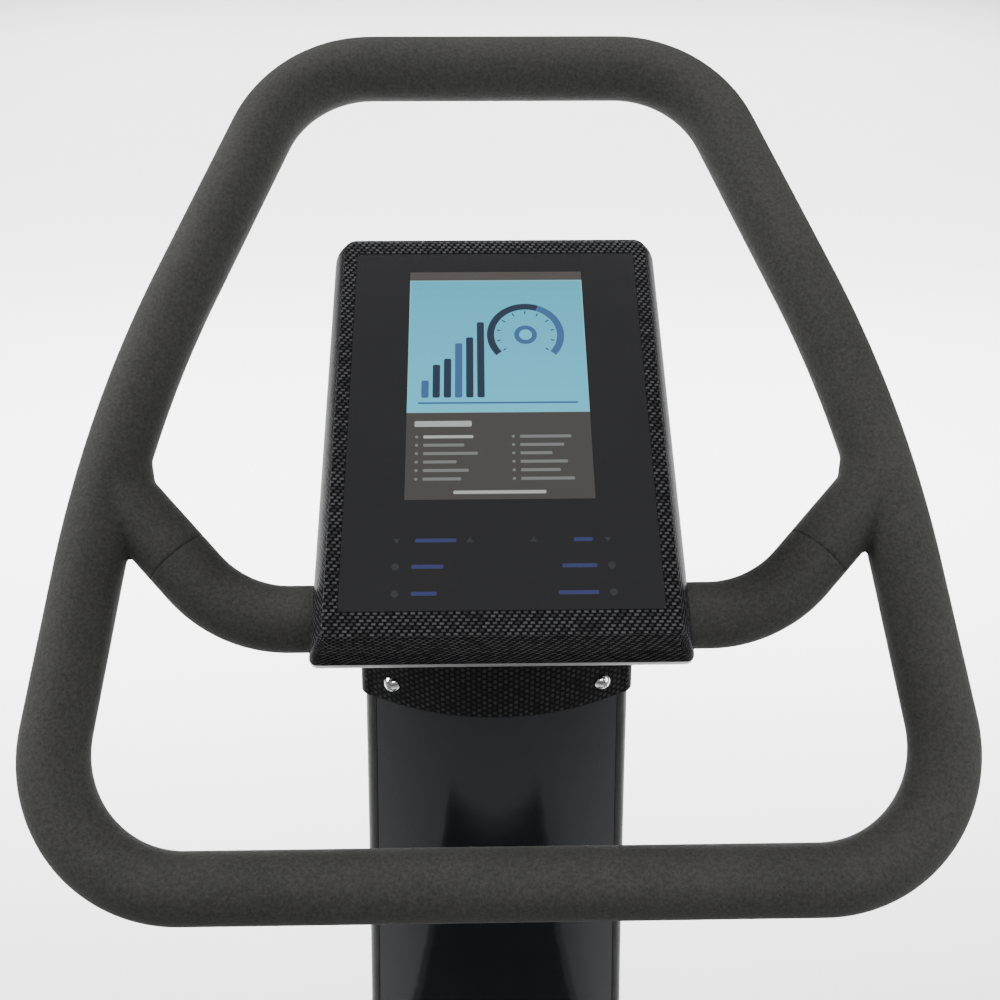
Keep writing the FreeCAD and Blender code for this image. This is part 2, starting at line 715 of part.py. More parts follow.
def make_mast():
    z = PAN_TOP + MAST_FOOT_THICKNESS
    y = mast_y(PAN_TOP)
    tube = mast_bar(0).cut(mast_bar(-MAST_WALL))
    half_y = MAST_DEPTH / 2 + MAST_FOOT_OVERHANG
    outline = rectangle(MAST_WIDTH / 2 + MAST_FOOT_OVERHANG, y - half_y, y + half_y)
    foot = flat_plate(outline, MAST_CORNER, PAN_TOP, z)
    head = head_plate(MAST_TOP, MAST_TOP + MAST_HEAD_THICKNESS, MAST_HEAD_OVERHANG)
    gussets = []
    for side in (-1, 1):
        x = side * MAST_WIDTH / 2
        reach = side * (MAST_FOOT_OVERHANG - 4)
        corners = [V(x - side * 2, y - 4, z), V(x + reach, y - 4, z), V(x - side * 2, y - 4, z + 80)]
        gussets.append(Part.Face(Part.makePolygon(corners + corners[:1])).extrude(V(0, 8, 0)))
    bores = [cylinder(STUD_R + SEAT_GAP, MAST_FOOT_THICKNESS, V(x, hole_y, PAN_TOP)) for x,
             hole_y in mast_foot_holes()]
    bores += [cylinder(STUD_R + SEAT_GAP, MAST_HEAD_THICKNESS, V(x, hole_y, MAST_TOP)) for x,
              hole_y in neck_holes()]
    bores.append(cylinder(CABLE_OD, MAST_HEAD_THICKNESS, V(0, mast_y(MAST_TOP), MAST_TOP)))
    bores.append(cylinder(CABLE_OD, MAST_DEPTH, V(0, y - MAST_DEPTH, cable_exit_z()), Y_AXIS))
    return without(joined([tube, foot, head] + gussets), bores)


def make_mast_bolts():
    seats = [V(x, y, PAN_TOP + MAST_FOOT_THICKNESS) for x, y in mast_foot_holes()]
    return group([bolt(STUD_R, MAST_FOOT_THICKNESS + PAN_THICKNESS, seat, Z_AXIS) for seat in seats])


def cable_exit_z():
    return PAN_BOTTOM + CABLE_EXIT


def open_path(points, radii):
    """Straight runs joined by tangent arcs."""
    edges = []
    last = points[0]
    for i in range(1, len(points) - 1):
        corner = points[i]
        back = (points[i - 1] - corner).normalize()
        on = (points[i + 1] - corner).normalize()
        half = back.getAngle(on) / 2
        reach = radii[i - 1] / math.tan(half)
        middle = (back + on).normalize()
        crown = corner + middle * (radii[i - 1] / math.sin(half) - radii[i - 1])
        edges.append(line(last, corner + back * reach))
        last = corner + on * reach
        edges.append(arc(corner + back * reach, crown, last))
    edges.append(line(last, points[-1]))
    return Part.Wire(edges)


def make_signal_cable():
    """Lead from the console's board down the middle of the mast to the inverter."""
    along = GLASS_MARGIN + GLASS_LENGTH / 2
    low_z = cable_exit_z()
    points = [
        on_console_point(0, along, -BOARD_BACK),
        on_console_point(0, along, -CONSOLE_DEPTH - 8),
        V(0, mast_y(MAST_TOP), MAST_TOP + 86),
        *[V(0, mast_y(z), z) for z in (low_z + (MAST_TOP - low_z) * share for share in (0.75, 0.43))],
        V(0, mast_y(low_z + 90), low_z),
        V(0, INVERTER_REAR_Y, low_z),
    ]
    return swept(open_path(points, [200, 60, CABLE_BEND, CABLE_BEND, 35]), CABLE_OD / 2)


# ---------------------------------------------------------------- neck
def console_plane_z(y, depth):
    """Height over y of the plane that lies depth below the console's face."""
    tilt = math.radians(CONSOLE_TILT)
    return CONSOLE_Z + (y - CONSOLE_Y) * math.tan(tilt) - depth / math.cos(tilt)


def on_console_point(x, y, z):
    tilt = math.radians(CONSOLE_TILT)
    return V(x, CONSOLE_Y + y * math.cos(tilt) - z * math.sin(tilt),
             CONSOLE_Z + y * math.sin(tilt) + z * math.cos(tilt))


def on_console(shape):
    """Moves a piece made in the console's own frame to its place."""
    place = FreeCAD.Placement(V(0, CONSOLE_Y, CONSOLE_Z), FreeCAD.Rotation(X_AXIS, CONSOLE_TILT))
    moved = shape.copy()
    moved.Placement = place.multiply(moved.Placement)
    return moved


def above_console_back():
    """Everything above the underside of the console's tub."""
    return on_console(box(-BEYOND, BEYOND, -BEYOND, BEYOND, -CONSOLE_DEPTH, BEYOND))


def console_room():
    """The space that the console's flange and tub take up."""
    flange = box(-BEYOND, BEYOND, -BEYOND, BEYOND, -RIM_BOTTOM - BACK_WALL, BEYOND)
    tub = console_block(BEZEL_FLARE - RIM_INSET - BACK_INSET + COVER_GAP, 0, CONSOLE_DEPTH)
    return on_console(flange.fuse(tub))


def neck_side():
    """Where the grommets meet the cowl's side."""
    return column_half(ARM_Z - FOAM_R) + COVER_GAP + COWL_WALL


def lean(z):
    """0 below the lean of the cowl's front, 1 above it, smooth between."""
    t = min(max((z - ARM_Z + LEAN_LOW) / (LEAN_LOW - LEAN_HIGH), 0), 1)
    return t * t * (3 - 2 * t)


def cowl_section(z, inset):
    """Closed section of the cowl at height z, inset from its outside."""
    grow = COVER_GAP + COWL_WALL - inset
    shift = lean(z)
    front = (front_y(z) - grow) * (1 - shift) + (ARM_Y - NECK_REACH + inset) * shift
    bulge = FRONT_BULGE * (1 - shift) + NECK_BULGE * shift
    half = column_half(z) + grow
    inner = half - TRIM_WIDTH
    rear = COWL_REAR_Y + (inset > 0) * 5
    corner = V(half, front + bulge + TRIM_RETURN, z)
    crown = V(inner + TRIM_WIDTH * 0.74, front + bulge + TRIM_RETURN * 0.26, z)
    start = V(inner, front + bulge, z)
    back = V(half, rear, z)
    return Part.Wire([
        across(inner, front, bulge, z), arc(start, crown, corner), line(corner, back), line(back, flip(back)),
        line(flip(back), flip(corner)), arc(flip(corner), flip(crown), flip(start)),
    ])


def cowl_shell(low, high):
    """Wall of the cowl between two heights, open behind and cut to the console."""
    count = max(4, round((high - low) / 9))
    outside = lofted([cowl_section(z, 0) for z in levels(low, high, count)])
    inside = lofted([cowl_section(z, COWL_WALL) for z in levels(low, high, count)])
    hole = cylinder(TUBE_R + GROMMET_WALL + SEAT_GAP, 400, V(-200, ARM_Y, ARM_Z), X_AXIS)
    return without(outside, [inside, hole, console_room()])


def cowl_screw_seats():
    """Seat and outward direction of each screw in the front of the cowl."""
    z = COWL_BOTTOM + COWL_SCREW_RISE
    half = column_half(z) + COVER_GAP + COWL_WALL - TRIM_WIDTH
    radius = (half ** 2 + FRONT_BULGE ** 2) / (2 * FRONT_BULGE)
    centre_y = front_y(z) - COVER_GAP - COWL_WALL + radius
    seats = []
    for x in (-COWL_SCREW_X, COWL_SCREW_X):
        out = V(x, -math.sqrt(radius ** 2 - x ** 2), 0).normalize()
        seats.append((V(0, centre_y, z) + out * (radius + SCREW_STANDOFF), out))
    return seats


def make_neck_cowl():
    bores = [cylinder(COWL_SCREW_R + SEAT_GAP, 12, seat - out * 6, out) for seat, out in cowl_screw_seats()]
    return without(cowl_shell(COWL_BOTTOM, ARM_Z), bores)


def make_neck_cap():
    return cowl_shell(ARM_Z + COVER_GAP, console_plane_z(COWL_REAR_Y, CONSOLE_DEPTH) + 10)


def make_cowl_screws():
    pieces = []
    for seat, out in cowl_screw_seats():
        inner = COWL_WALL + COVER_GAP + COVER_WALL
        pieces.append(dome_screw(DOME_RADIUS, DOME_HEIGHT, COWL_SCREW_R, inner + 7, seat, out))
        pieces.append(ring(COWL_SCREW_R * 2, COWL_SCREW_R, 5, seat - out * (inner + 4 * SCREW_STANDOFF),
                           out * -1))
    return group(pieces)


def make_neck_bracket():
    """Two gussets that hold the arm, on a plate bolted to the mast, with a tilted plate for the console."""
    z = MAST_TOP + MAST_HEAD_THICKNESS
    y = mast_y(MAST_TOP)
    half_y = MAST_DEPTH / 2 + MAST_HEAD_OVERHANG
    front = ARM_Y - GUSSET_REACH
    depth = CONSOLE_DEPTH + NECK_PLATE / 2
    outline = [
        (y - half_y, z + NECK_BASE / 2), (y + half_y, z + NECK_BASE / 2),
        (y + half_y, console_plane_z(y + half_y, depth)), (front, console_plane_z(front, depth)),
        (front, ARM_Z - TUBE_R),
    ]
    window = side_plate([(y - 20, z + 34), (y + 32, z + 34), (y + 32, z + 110), (y - 20, z + 86)], 8, -200,
                        200)
    gusset = side_plate(outline, [4, 4, 2, 2, 14], GUSSET_X - GUSSET_THICKNESS / 2,
                        GUSSET_X + GUSSET_THICKNESS / 2)
    base = head_plate(z, z + NECK_BASE, MAST_HEAD_OVERHANG)
    plate = on_console(box(-NECK_PLATE_HALF, NECK_PLATE_HALF, NECK_PLATE_FROM, NECK_PLATE_TO,
                           -CONSOLE_DEPTH - NECK_PLATE, -CONSOLE_DEPTH))
    bores = [cylinder(TUBE_R + SEAT_GAP, 200, V(-100, ARM_Y, ARM_Z), X_AXIS), window]
    bores += [cylinder(STUD_R + SEAT_GAP, NECK_BASE, V(x, hole_y, z)) for x, hole_y in neck_holes()]
    bores.append(cylinder(CABLE_OD, NECK_BASE, V(0, y, z)))
    bores.append(on_console(cable_window(CABLE_OD)))
    bores += [on_console(cylinder(CONSOLE_BOLT_R + SEAT_GAP, 20, V(x, hole_y, -CONSOLE_DEPTH - 10))) for x,
              hole_y in console_bolt_points()]
    return without(joined([gusset, mirrored(gusset), base, plate]), bores)


def cable_window(radius):
    """Way through the console's underside for the signal cable."""
    y = GLASS_MARGIN + GLASS_LENGTH / 2
    shaft = cylinder(radius, BACK_DEPTH + 30, V(0, y, -CONSOLE_DEPTH - 20))
    long_y = radius * 5
    return shaft.fuse(box(-radius, radius, y - 4, y + long_y, -CONSOLE_DEPTH - 20, -CONSOLE_DEPTH + 20))


def console_bolt_points():
    side = NECK_PLATE_HALF - NECK_PLATE_INSET * 2 / 3
    ends = (NECK_PLATE_FROM + NECK_PLATE_INSET, NECK_PLATE_TO - NECK_PLATE_INSET)
    return [(x, y) for x in (-side, side) for y in ends]


def make_neck_bolts():
    z = MAST_TOP + MAST_HEAD_THICKNESS + NECK_BASE
    length = MAST_HEAD_THICKNESS + NECK_BASE + 8
    pieces = [bolt(STUD_R, length, V(x, y, z), Z_AXIS) for x, y in neck_holes()]
    pieces += [ring(9, STUD_R + RUNNING_GAP, 7, V(x, y, MAST_TOP), Z_AXIS * -1) for x, y in neck_holes()]
    return group(pieces)


def make_console_bolts():
    seats = [on_console_point(x, y, -CONSOLE_DEPTH - NECK_PLATE) for x, y in console_bolt_points()]
    down = FreeCAD.Rotation(X_AXIS, CONSOLE_TILT).multVec(Z_AXIS * -1)
    return group([bolt(CONSOLE_BOLT_R, NECK_PLATE + BACK_WALL + 6, seat, down) for seat in seats])


# ---------------------------------------------------------------- console
def console_outline(grow, depth, corner=FACE_CORNER):
    """Rounded rectangle at a depth below the face, larger than the face by grow on every side."""
    half = FACE_WIDTH / 2 + grow
    far = FACE_LENGTH + grow
    corners = [V(-half, -grow, -depth), V(half, -grow, -depth), V(half, far, -depth), V(-half, far, -depth)]
    return rounded_wire(corners, max(corner + grow, 1.5))


def console_block(grow, top, bottom, corner=FACE_CORNER):
    return Part.Face(console_outline(grow, bottom, corner)).extrude(V(0, 0, bottom - top))


def glass_block(grow, top, bottom):
    half = GLASS_WIDTH / 2 + grow
    outline = rectangle(half, GLASS_MARGIN - grow, GLASS_MARGIN + GLASS_LENGTH + grow)
    return flat_plate(outline, GLASS_CORNER, -bottom, -top)


def boss_points():
    side = FACE_WIDTH / 2 - BOSS_INSET
    near = GLASS_MARGIN / 2
    far = FACE_LENGTH - (FACE_LENGTH - GLASS_MARGIN - GLASS_LENGTH) / 2
    return [(x, y) for x in (-side, side) for y in (near, far)]


def make_console_bezel():
    """Moulded surround: a flat face with a rounded edge that flares to the rim."""
    sections = []
    for step in range(6):
        angle = math.radians(18 * step)
        sections.append(console_outline(BEZEL_FLARE * math.sin(angle), BEZEL_DEPTH * (1 - math.cos(angle))))
    outside = lofted(sections)
    top = BEZEL_FLARE * math.sqrt(1 - (1 - FACE_WALL / BEZEL_DEPTH) ** 2) - BEZEL_WALL
    inside = Part.makeLoft([
        console_outline(top, FACE_WALL), console_outline(BEZEL_FLARE - BEZEL_WALL, BEZEL_DEPTH)], True, True)
    recess = glass_block(SEAT_GAP, 0, GLASS_THICKNESS)
    window = glass_block(-GLASS_LEDGE, 0, FACE_WALL)
    shell = without(outside, [inside, recess, window])
    bosses = [cylinder(BOSS_RADIUS, BEZEL_DEPTH - FACE_WALL / 2, V(x, y, -BEZEL_DEPTH)) for x,
              y in boss_points()]
    holes = [cylinder(CONSOLE_SCREW_R, 14, V(x, y, -BEZEL_DEPTH)) for x, y in boss_points()]
    return on_console(without(joined([shell] + [boss.common(outside) for boss in bosses]), holes + [recess]))


def make_console_rim():
    ring_shape = console_block(BEZEL_FLARE - RIM_INSET, BEZEL_DEPTH, RIM_BOTTOM)
    hollow = console_block(BEZEL_FLARE - RIM_INSET - RIM_WIDTH, BEZEL_DEPTH, RIM_BOTTOM, 4)
    holes = [cylinder(CONSOLE_SCREW_R + SEAT_GAP, RIM_DEPTH, V(x, y, -RIM_BOTTOM)) for x, y in boss_points()]
    return on_console(without(ring_shape, [hollow] + holes))


def board_posts():
    side = GLASS_WIDTH / 2 - 2 * GLASS_LEDGE
    near = GLASS_MARGIN + 2 * GLASS_LEDGE
    far = GLASS_MARGIN + GLASS_LENGTH - 2 * GLASS_LEDGE
    return [(x, y) for x in (-side, side) for y in (near, far)]


def make_console_back():
    """Tray under the console, with a flange for the rim and posts for the board."""
    edge = BEZEL_FLARE - RIM_INSET
    flange = console_block(edge, RIM_BOTTOM, RIM_BOTTOM + BACK_WALL)
    tub = console_block(edge - BACK_INSET, RIM_BOTTOM, CONSOLE_DEPTH)
    hollow = console_block(edge - BACK_INSET - BACK_WALL, RIM_BOTTOM, CONSOLE_DEPTH - BACK_WALL)
    shell = joined([flange, tub]).cut(hollow)
    post_height = CONSOLE_DEPTH - BACK_WALL / 2 - BOARD_BACK
    posts = [cylinder(BOSS_RADIUS, post_height, V(x, y, -CONSOLE_DEPTH + BACK_WALL / 2)) for x,
             y in board_posts()]
    holes = [cylinder(CONSOLE_SCREW_R + SEAT_GAP, BACK_WALL, V(x, y, -RIM_BOTTOM - BACK_WALL)) for x,
             y in boss_points()]
    holes += [cylinder(CONSOLE_BOLT_R + SEAT_GAP, BACK_WALL, V(x, y, -CONSOLE_DEPTH)) for x,
              y in console_bolt_points()]
    return on_console(without(joined([shell] + posts), holes + [cable_window(CABLE_OD)]))


def make_console_glass():
    return on_console(glass_block(0, 0, GLASS_THICKNESS))


def make_lcd_module():
    half = LCD_WIDTH / 2 + LCD_FRAME
    near = LCD_FROM - LCD_FRAME
    body = box(-half, half, near, near + LCD_LENGTH + 2 * LCD_FRAME, -GLASS_THICKNESS - LCD_DEPTH,
               -GLASS_THICKNESS)
    return on_console(body)


def make_touch_board():
    """Board behind the glass, with a raised pad under each touch key and a connector for the lead."""
    edge = GLASS_LEDGE + 2
    board = glass_block(-edge, BOARD_BACK - BOARD_THICKNESS, BOARD_BACK)
    pads = []
    for y in KEY_ROWS:
        for x in (-KEY_X, KEY_X):
            pads.append(cylinder(KEY_RADIUS, LCD_DEPTH, V(x, y, -GLASS_THICKNESS - LCD_DEPTH)))
    return on_console(joined([board] + pads))


def make_console_screws():
    length = RIM_DEPTH + BACK_WALL + 12
    down = FreeCAD.Rotation(X_AXIS, CONSOLE_TILT).multVec(Z_AXIS * -1)
    seats = [on_console_point(x, y, -RIM_BOTTOM - BACK_WALL) for x, y in boss_points()]
    return group([dome_screw(4, 2.6, CONSOLE_SCREW_R, length, seat, down) for seat in seats])


# ---------------------------------------------------------------- deck
def deck_corners(inset):
    return [DECK_CORNER - inset, DECK_CORNER - inset, DECK_REAR_CORNER - min(inset, 12),
            DECK_REAR_CORNER - min(inset, 12)]


def deck_block(inset, z0, z1):
    outline = rectangle(DECK_WIDTH / 2 - inset, DECK_FRONT_Y + inset, DECK_REAR_Y - inset)
    return flat_plate(outline, deck_corners(inset), z0, z1)


def mat_block(grow, z0, z1):
    outline = rectangle(DECK_WIDTH / 2 - MAT_MARGIN + grow, DECK_FRONT_Y + MAT_MARGIN - grow,
                        DECK_REAR_Y - MAT_MARGIN + grow)
    return flat_plate(outline, MAT_CORNER, z0, z1)


def make_deck_plate():
    """Steel plate with ribs beneath it, drilled for the motors and the mounts."""
    plate = deck_block(TRIM_WALL + SEAT_GAP, DECK_UNDERSIDE, DECK_TOP)
    ribs = []
    low = DECK_UNDERSIDE - DECK_RIB_DEPTH
    front = DECK_FRONT_Y + 60
    rear = DECK_REAR_Y - 40
    for x in (-DECK_RIB_X, DECK_RIB_X):
        ribs.append(box(x - DECK_RIB_THICKNESS / 2, x + DECK_RIB_THICKNESS / 2, front, rear, low,
                        DECK_UNDERSIDE))
    for y in (front, rear - DECK_RIB_THICKNESS):
        ribs.append(box(-DECK_RIB_X, DECK_RIB_X, y, y + DECK_RIB_THICKNESS, low, DECK_UNDERSIDE))
    holes = [cylinder(STUD_R + SEAT_GAP, DECK_THICKNESS, V(x, y, DECK_UNDERSIDE)) for x, y in MOUNT_POINTS]
    holes += [cylinder(MOTOR_BOLT_R + SEAT_GAP, DECK_THICKNESS, V(x, y, DECK_UNDERSIDE)) for x,
              y in motor_bolt_points()]
    return without(joined([plate] + ribs), holes)


def make_deck_trim():
    """Silver frame: an outer wall down the sides of the deck and a lip round the mat."""
    wall = deck_block(0, TRIM_BOTTOM, DECK_TOP + TRIM_LIP).cut(deck_block(TRIM_WALL, TRIM_BOTTOM, DECK_TOP))
    solid = wall.cut(mat_block(SEAT_GAP, DECK_TOP, DECK_TOP + TRIM_LIP))
    top_edges = [e for e in solid.Edges if on_outer_top(e)]
    return solid.makeFillet(2.5, top_edges)


def on_outer_top(edge):
    """True for the outer edge round the top of the trim."""
    bounds = edge.BoundBox
    if abs(bounds.ZMin - DECK_TOP - TRIM_LIP) > 0.01 or abs(bounds.ZMax - bounds.ZMin) > 0.01:
        return False
    half = DECK_WIDTH / 2 - MAT_MARGIN + 1
    outside_x = max(abs(bounds.XMin), abs(bounds.XMax)) > half
    outside_y = bounds.YMin < DECK_FRONT_Y + MAT_MARGIN - 1 or bounds.YMax > DECK_REAR_Y - MAT_MARGIN + 1
    return outside_x or outside_y


def make_deck_mat():
    mat = mat_block(0, DECK_TOP, DECK_TOP + MAT_THICKNESS)
    centre = V(0, DECK_CENTRE_Y, DECK_TOP + MAT_THICKNESS - 1)
    return mat.cut(ring(MAT_RING_R, MAT_RING_R - 3, 1, centre))


def make_rubber_mounts():
    """Waisted rubber buffers between the posts and the deck."""
    height = MOUNT_HEIGHT - MOUNT_PLATE
    waist = MOUNT_RADIUS - MOUNT_WAIST
    pieces = []
    for x, y in MOUNT_POINTS:
        outline = Part.Wire([
            line(V(x, y, POST_TOP), V(x + MOUNT_RADIUS, y, POST_TOP)),
            arc(V(x + MOUNT_RADIUS, y, POST_TOP), V(x + waist, y, POST_TOP + height / 2),
                V(x + MOUNT_RADIUS, y, POST_TOP + height)),
            line(V(x + MOUNT_RADIUS, y, POST_TOP + height), V(x, y, POST_TOP + height)),
            line(V(x, y, POST_TOP + height), V(x, y, POST_TOP)),
        ])
        pieces.append(Part.Face(outline).revolve(V(x, y, 0), Z_AXIS, 360))
    return group(pieces)


def make_mount_plates():
    """Steel plate and stud on top of each buffer."""
    low = DECK_UNDERSIDE - MOUNT_PLATE
    pieces = []
    for x, y in MOUNT_POINTS:
        plate = cylinder(MOUNT_RADIUS, MOUNT_PLATE, V(x, y, low))
        stud = cylinder(STUD_R, MOUNT_PLATE + DECK_THICKNESS - 0.5, V(x, y, low))
        pieces.append(joined([plate, stud]))
    return group(pieces)


# ---------------------------------------------------------------- vibration motors
def motor_bolt_points():
    reach = (MOTOR_RADIUS + SADDLE_HALF) / 2 + 1
    return [(x, y + side) for y in MOTOR_YS.values() for x in (-SADDLE_X, SADDLE_X) for side in (-reach,
                                                                                                 reach)]


def make_motor_housing(y):
    """Finned barrel with a wall for each bearing and two saddles under the deck."""
    start = V(-MOTOR_HALF, y, MOTOR_Z)
    barrel = cylinder(MOTOR_RADIUS, MOTOR_BODY, start, X_AXIS)
    fins = []
    for i in range(FIN_COUNT):
        angle = 360.0 * (i + 0.5) / FIN_COUNT
        fin = box(-MOTOR_HALF + 18, MOTOR_HALF - 18, -FIN_THICKNESS / 2, FIN_THICKNESS / 2,
                  MOTOR_RADIUS - 2, MOTOR_RADIUS + FIN_HEIGHT)
        fin.rotate(V(0, 0, 0), X_AXIS, angle)
        fins.append(fin.translated(V(0, y, MOTOR_Z)))
    saddles = []
    for x in (-SADDLE_X, SADDLE_X):
        x0 = x - SADDLE_WIDTH / 2
        x1 = x + SADDLE_WIDTH / 2
        saddles.append(box(x0, x1, y - MOTOR_RADIUS * 0.8, y + MOTOR_RADIUS * 0.8, MOTOR_Z, DECK_UNDERSIDE))
        saddles.append(box(x0, x1, y - SADDLE_HALF, y + SADDLE_HALF, DECK_UNDERSIDE - SADDLE_FLANGE,
                           DECK_UNDERSIDE))
    hollow = cylinder(MOTOR_RADIUS - MOTOR_WALL, MOTOR_BODY - 2 * SHIELD,
                      V(-MOTOR_HALF + SHIELD, y, MOTOR_Z), X_AXIS)
    bore = cylinder(SHAFT_RADIUS + 3, MOTOR_BODY, start, X_AXIS)
    seat_r = BEARING_OD / 2 + RUNNING_GAP
    seats = [
        cylinder(seat_r, BEARING_WIDTH, V(-MOTOR_HALF, y, MOTOR_Z), X_AXIS),
        cylinder(seat_r, BEARING_WIDTH, V(MOTOR_HALF - BEARING_WIDTH, y, MOTOR_Z), X_AXIS),
    ]
    bolts = [cylinder(MOTOR_BOLT_R + SEAT_GAP, 40, V(x, by, DECK_UNDERSIDE - 40)) for x,
             by in motor_bolt_points()]
    return without(joined([barrel] + fins + saddles), [hollow, bore] + seats + bolts)


def make_motor_stators():
    pieces = []
    for y in MOTOR_YS.values():
        outer = MOTOR_RADIUS - MOTOR_WALL - RUNNING_GAP
        pieces.append(ring(outer, STATOR_BORE, STATOR_LENGTH, V(-STATOR_LENGTH / 2, y, MOTOR_Z), X_AXIS))
    return group(pieces)


def make_motor_bearings():
    pieces = []
    for y in MOTOR_YS.values():
        for x in (-MOTOR_HALF, MOTOR_HALF - BEARING_WIDTH):
            pieces.append(ring(BEARING_OD / 2, SHAFT_RADIUS + RUNNING_GAP, BEARING_WIDTH, V(x, y, MOTOR_Z),
                               X_AXIS))
    return group(pieces)


def make_motor_end_covers():
    """Pressed caps over the weights."""
    pieces = []
    for y in MOTOR_YS.values():
        cap = cylinder(MOTOR_RADIUS, END_COVER, V(MOTOR_HALF, y, MOTOR_Z), X_AXIS)
        cap = cap.makeFillet(8, [e for e in cap.Edges if e.BoundBox.XMin > MOTOR_HALF + END_COVER - 0.01])
        inner = cylinder(MOTOR_RADIUS - END_COVER_WALL, END_COVER - END_COVER_WALL,
                         V(MOTOR_HALF, y, MOTOR_Z), X_AXIS)
        cap = cap.cut(inner)
        pieces += [cap, mirrored(cap)]
    return group(pieces)


def make_motor_bolts():
    z = DECK_UNDERSIDE - SADDLE_FLANGE
    length = SADDLE_FLANGE + DECK_THICKNESS - 0.5
    return group([bolt(MOTOR_BOLT_R, length, V(x, y, z), Z_AXIS * -1) for x, y in motor_bolt_points()])


def make_rotor(y):
    """Shaft with its iron core, turning in both bearings."""
    reach = MOTOR_HALF + 6 + WEIGHT_THICKNESS + 4
    shaft = cylinder(SHAFT_RADIUS, 2 * reach, V(-reach, y, MOTOR_Z), X_AXIS)
    core = cylinder(STATOR_BORE - ROTOR_GAP, STATOR_LENGTH, V(-STATOR_LENGTH / 2, y, MOTOR_Z), X_AXIS)
    return joined([shaft, core])


def make_rotor_weights(y):
    """Half discs clamped on both ends of a shaft; they shake the deck as they turn."""
    pieces = []
    for x in (-MOTOR_HALF - 6 - WEIGHT_THICKNESS, MOTOR_HALF + 6):
        base = V(x, y, MOTOR_Z)
        disc = cylinder(WEIGHT_RADIUS, WEIGHT_THICKNESS, base, X_AXIS)
        upper = box(x, x + WEIGHT_THICKNESS, y - 60, y + 60, MOTOR_Z, MOTOR_Z + 60)
        hub = cylinder(WEIGHT_HUB, WEIGHT_THICKNESS, base, X_AXIS)
        whole = joined([disc.cut(upper), hub])
        pieces.append(whole.cut(cylinder(SHAFT_RADIUS, WEIGHT_THICKNESS, base, X_AXIS)))
    return group(pieces)


# ---------------------------------------------------------------- base
def base_wire(inset, z):
    """Outline of the base: as wide as the deck in front, tapering behind it."""
    half = DECK_WIDTH / 2 - SKIRT_INSET
    corners = [
        V(-half, DECK_FRONT_Y + SKIRT_INSET, z), V(half, DECK_FRONT_Y + SKIRT_INSET, z),
        V(half, DECK_REAR_Y - 45, z), V(BASE_REAR_HALF, BASE_REAR_Y, z),
        V(-BASE_REAR_HALF, BASE_REAR_Y, z), V(-half, DECK_REAR_Y - 45, z),
    ]
    wire = rounded_wire(corners, SKIRT_CORNER)
    return wire.makeOffset2D(-inset) if inset else wire


def base_block(inset, z0, z1):
    return Part.Face(base_wire(inset, z0)).extrude(V(0, 0, z1 - z0))


def base_wall(outer, inner, z0, z1):
    return base_block(outer, z0, z1).cut(base_block(inner, z0, z1))


def wheel_notches(room, z1):
    """Room round each wheel at the back of the base."""
    half = WHEEL_WIDTH / 2 + WHEEL_SIDE + CHEEK + AXLE_HEAD + room
    y0 = WHEEL_Y - WHEEL_RADIUS - WHEEL_ROOM
    return [box(x - half, x + half, y0, BASE_REAR_Y + 40, 0, z1) for x in (-WHEEL_X, WHEEL_X)]


def make_base_pan():
    """Pressed steel pan: floor, upturned flange, bosses for the feet and holes for the mast."""
    edge = SKIRT_WALL + PAN_GAP
    floor = base_block(edge, PAN_BOTTOM, PAN_TOP)
    flange = base_wall(edge, edge + PAN_FLANGE_WALL, PAN_BOTTOM, PAN_TOP + PAN_FLANGE_HEIGHT)
    bosses = [cylinder(FOOT_BOSS, FOOT_BOSS, V(x, y, PAN_TOP)) for x, y in FOOT_POINTS.values()]
    holes = [cylinder(STUD_R + RUNNING_GAP, 60, V(x, y, PAN_BOTTOM)) for x, y in FOOT_POINTS.values()]
    holes += [cylinder(STUD_R + SEAT_GAP, PAN_THICKNESS, V(x, y, PAN_BOTTOM)) for x, y in mast_foot_holes()]
    return without(joined([floor, flange] + bosses),
                   holes + wheel_notches(COVER_GAP, 200) + [power_opening()])


def power_opening():
    """Opening in the back wall behind the power plate."""
    half = POWER_PLATE_HALF - 4
    return box(-half, half, BASE_REAR_Y - 40, BASE_REAR_Y + 1, POWER_Z - POWER_OPENING,
               POWER_Z + POWER_OPENING)


def make_base_skirt():
    """Moulded wall round the pan with a lip that stands inside the deck's frame."""
    wall = base_wall(0, SKIRT_WALL, SKIRT_BOTTOM, SKIRT_TOP)
    inner = SKIRT_WALL + SKIRT_LIP_WALL
    lip = base_wall(SKIRT_WALL, inner, SKIRT_TOP - 4, SKIRT_LIP_TOP)
    notches = wheel_notches(COVER_GAP, WHEEL_Z + WHEEL_RADIUS + WHEEL_ROOM)
    gap = box(-400, 400, DECK_REAR_Y - TRIM_WALL - 3, DECK_REAR_Y + REAR_COVER_GAP, SKIRT_TOP,
              SKIRT_LIP_TOP + 1)
    return without(joined([wall, lip]), notches + [power_opening(), gap])


def rear_cover_under(drop):
    """Everything below the sloping top of the rear cover, drop lower down."""
    y0 = DECK_REAR_Y + REAR_COVER_GAP
    slope = (REAR_COVER_REAR_TOP - REAR_COVER_FRONT_TOP) / (BASE_REAR_Y - y0)
    far = BASE_REAR_Y + 50
    corners = [(y0, 0), (far, 0), (far, REAR_COVER_FRONT_TOP + slope * (far - y0) - drop),
               (y0, REAR_COVER_FRONT_TOP - drop)]
    return side_plate(corners, 0, -400, 400)


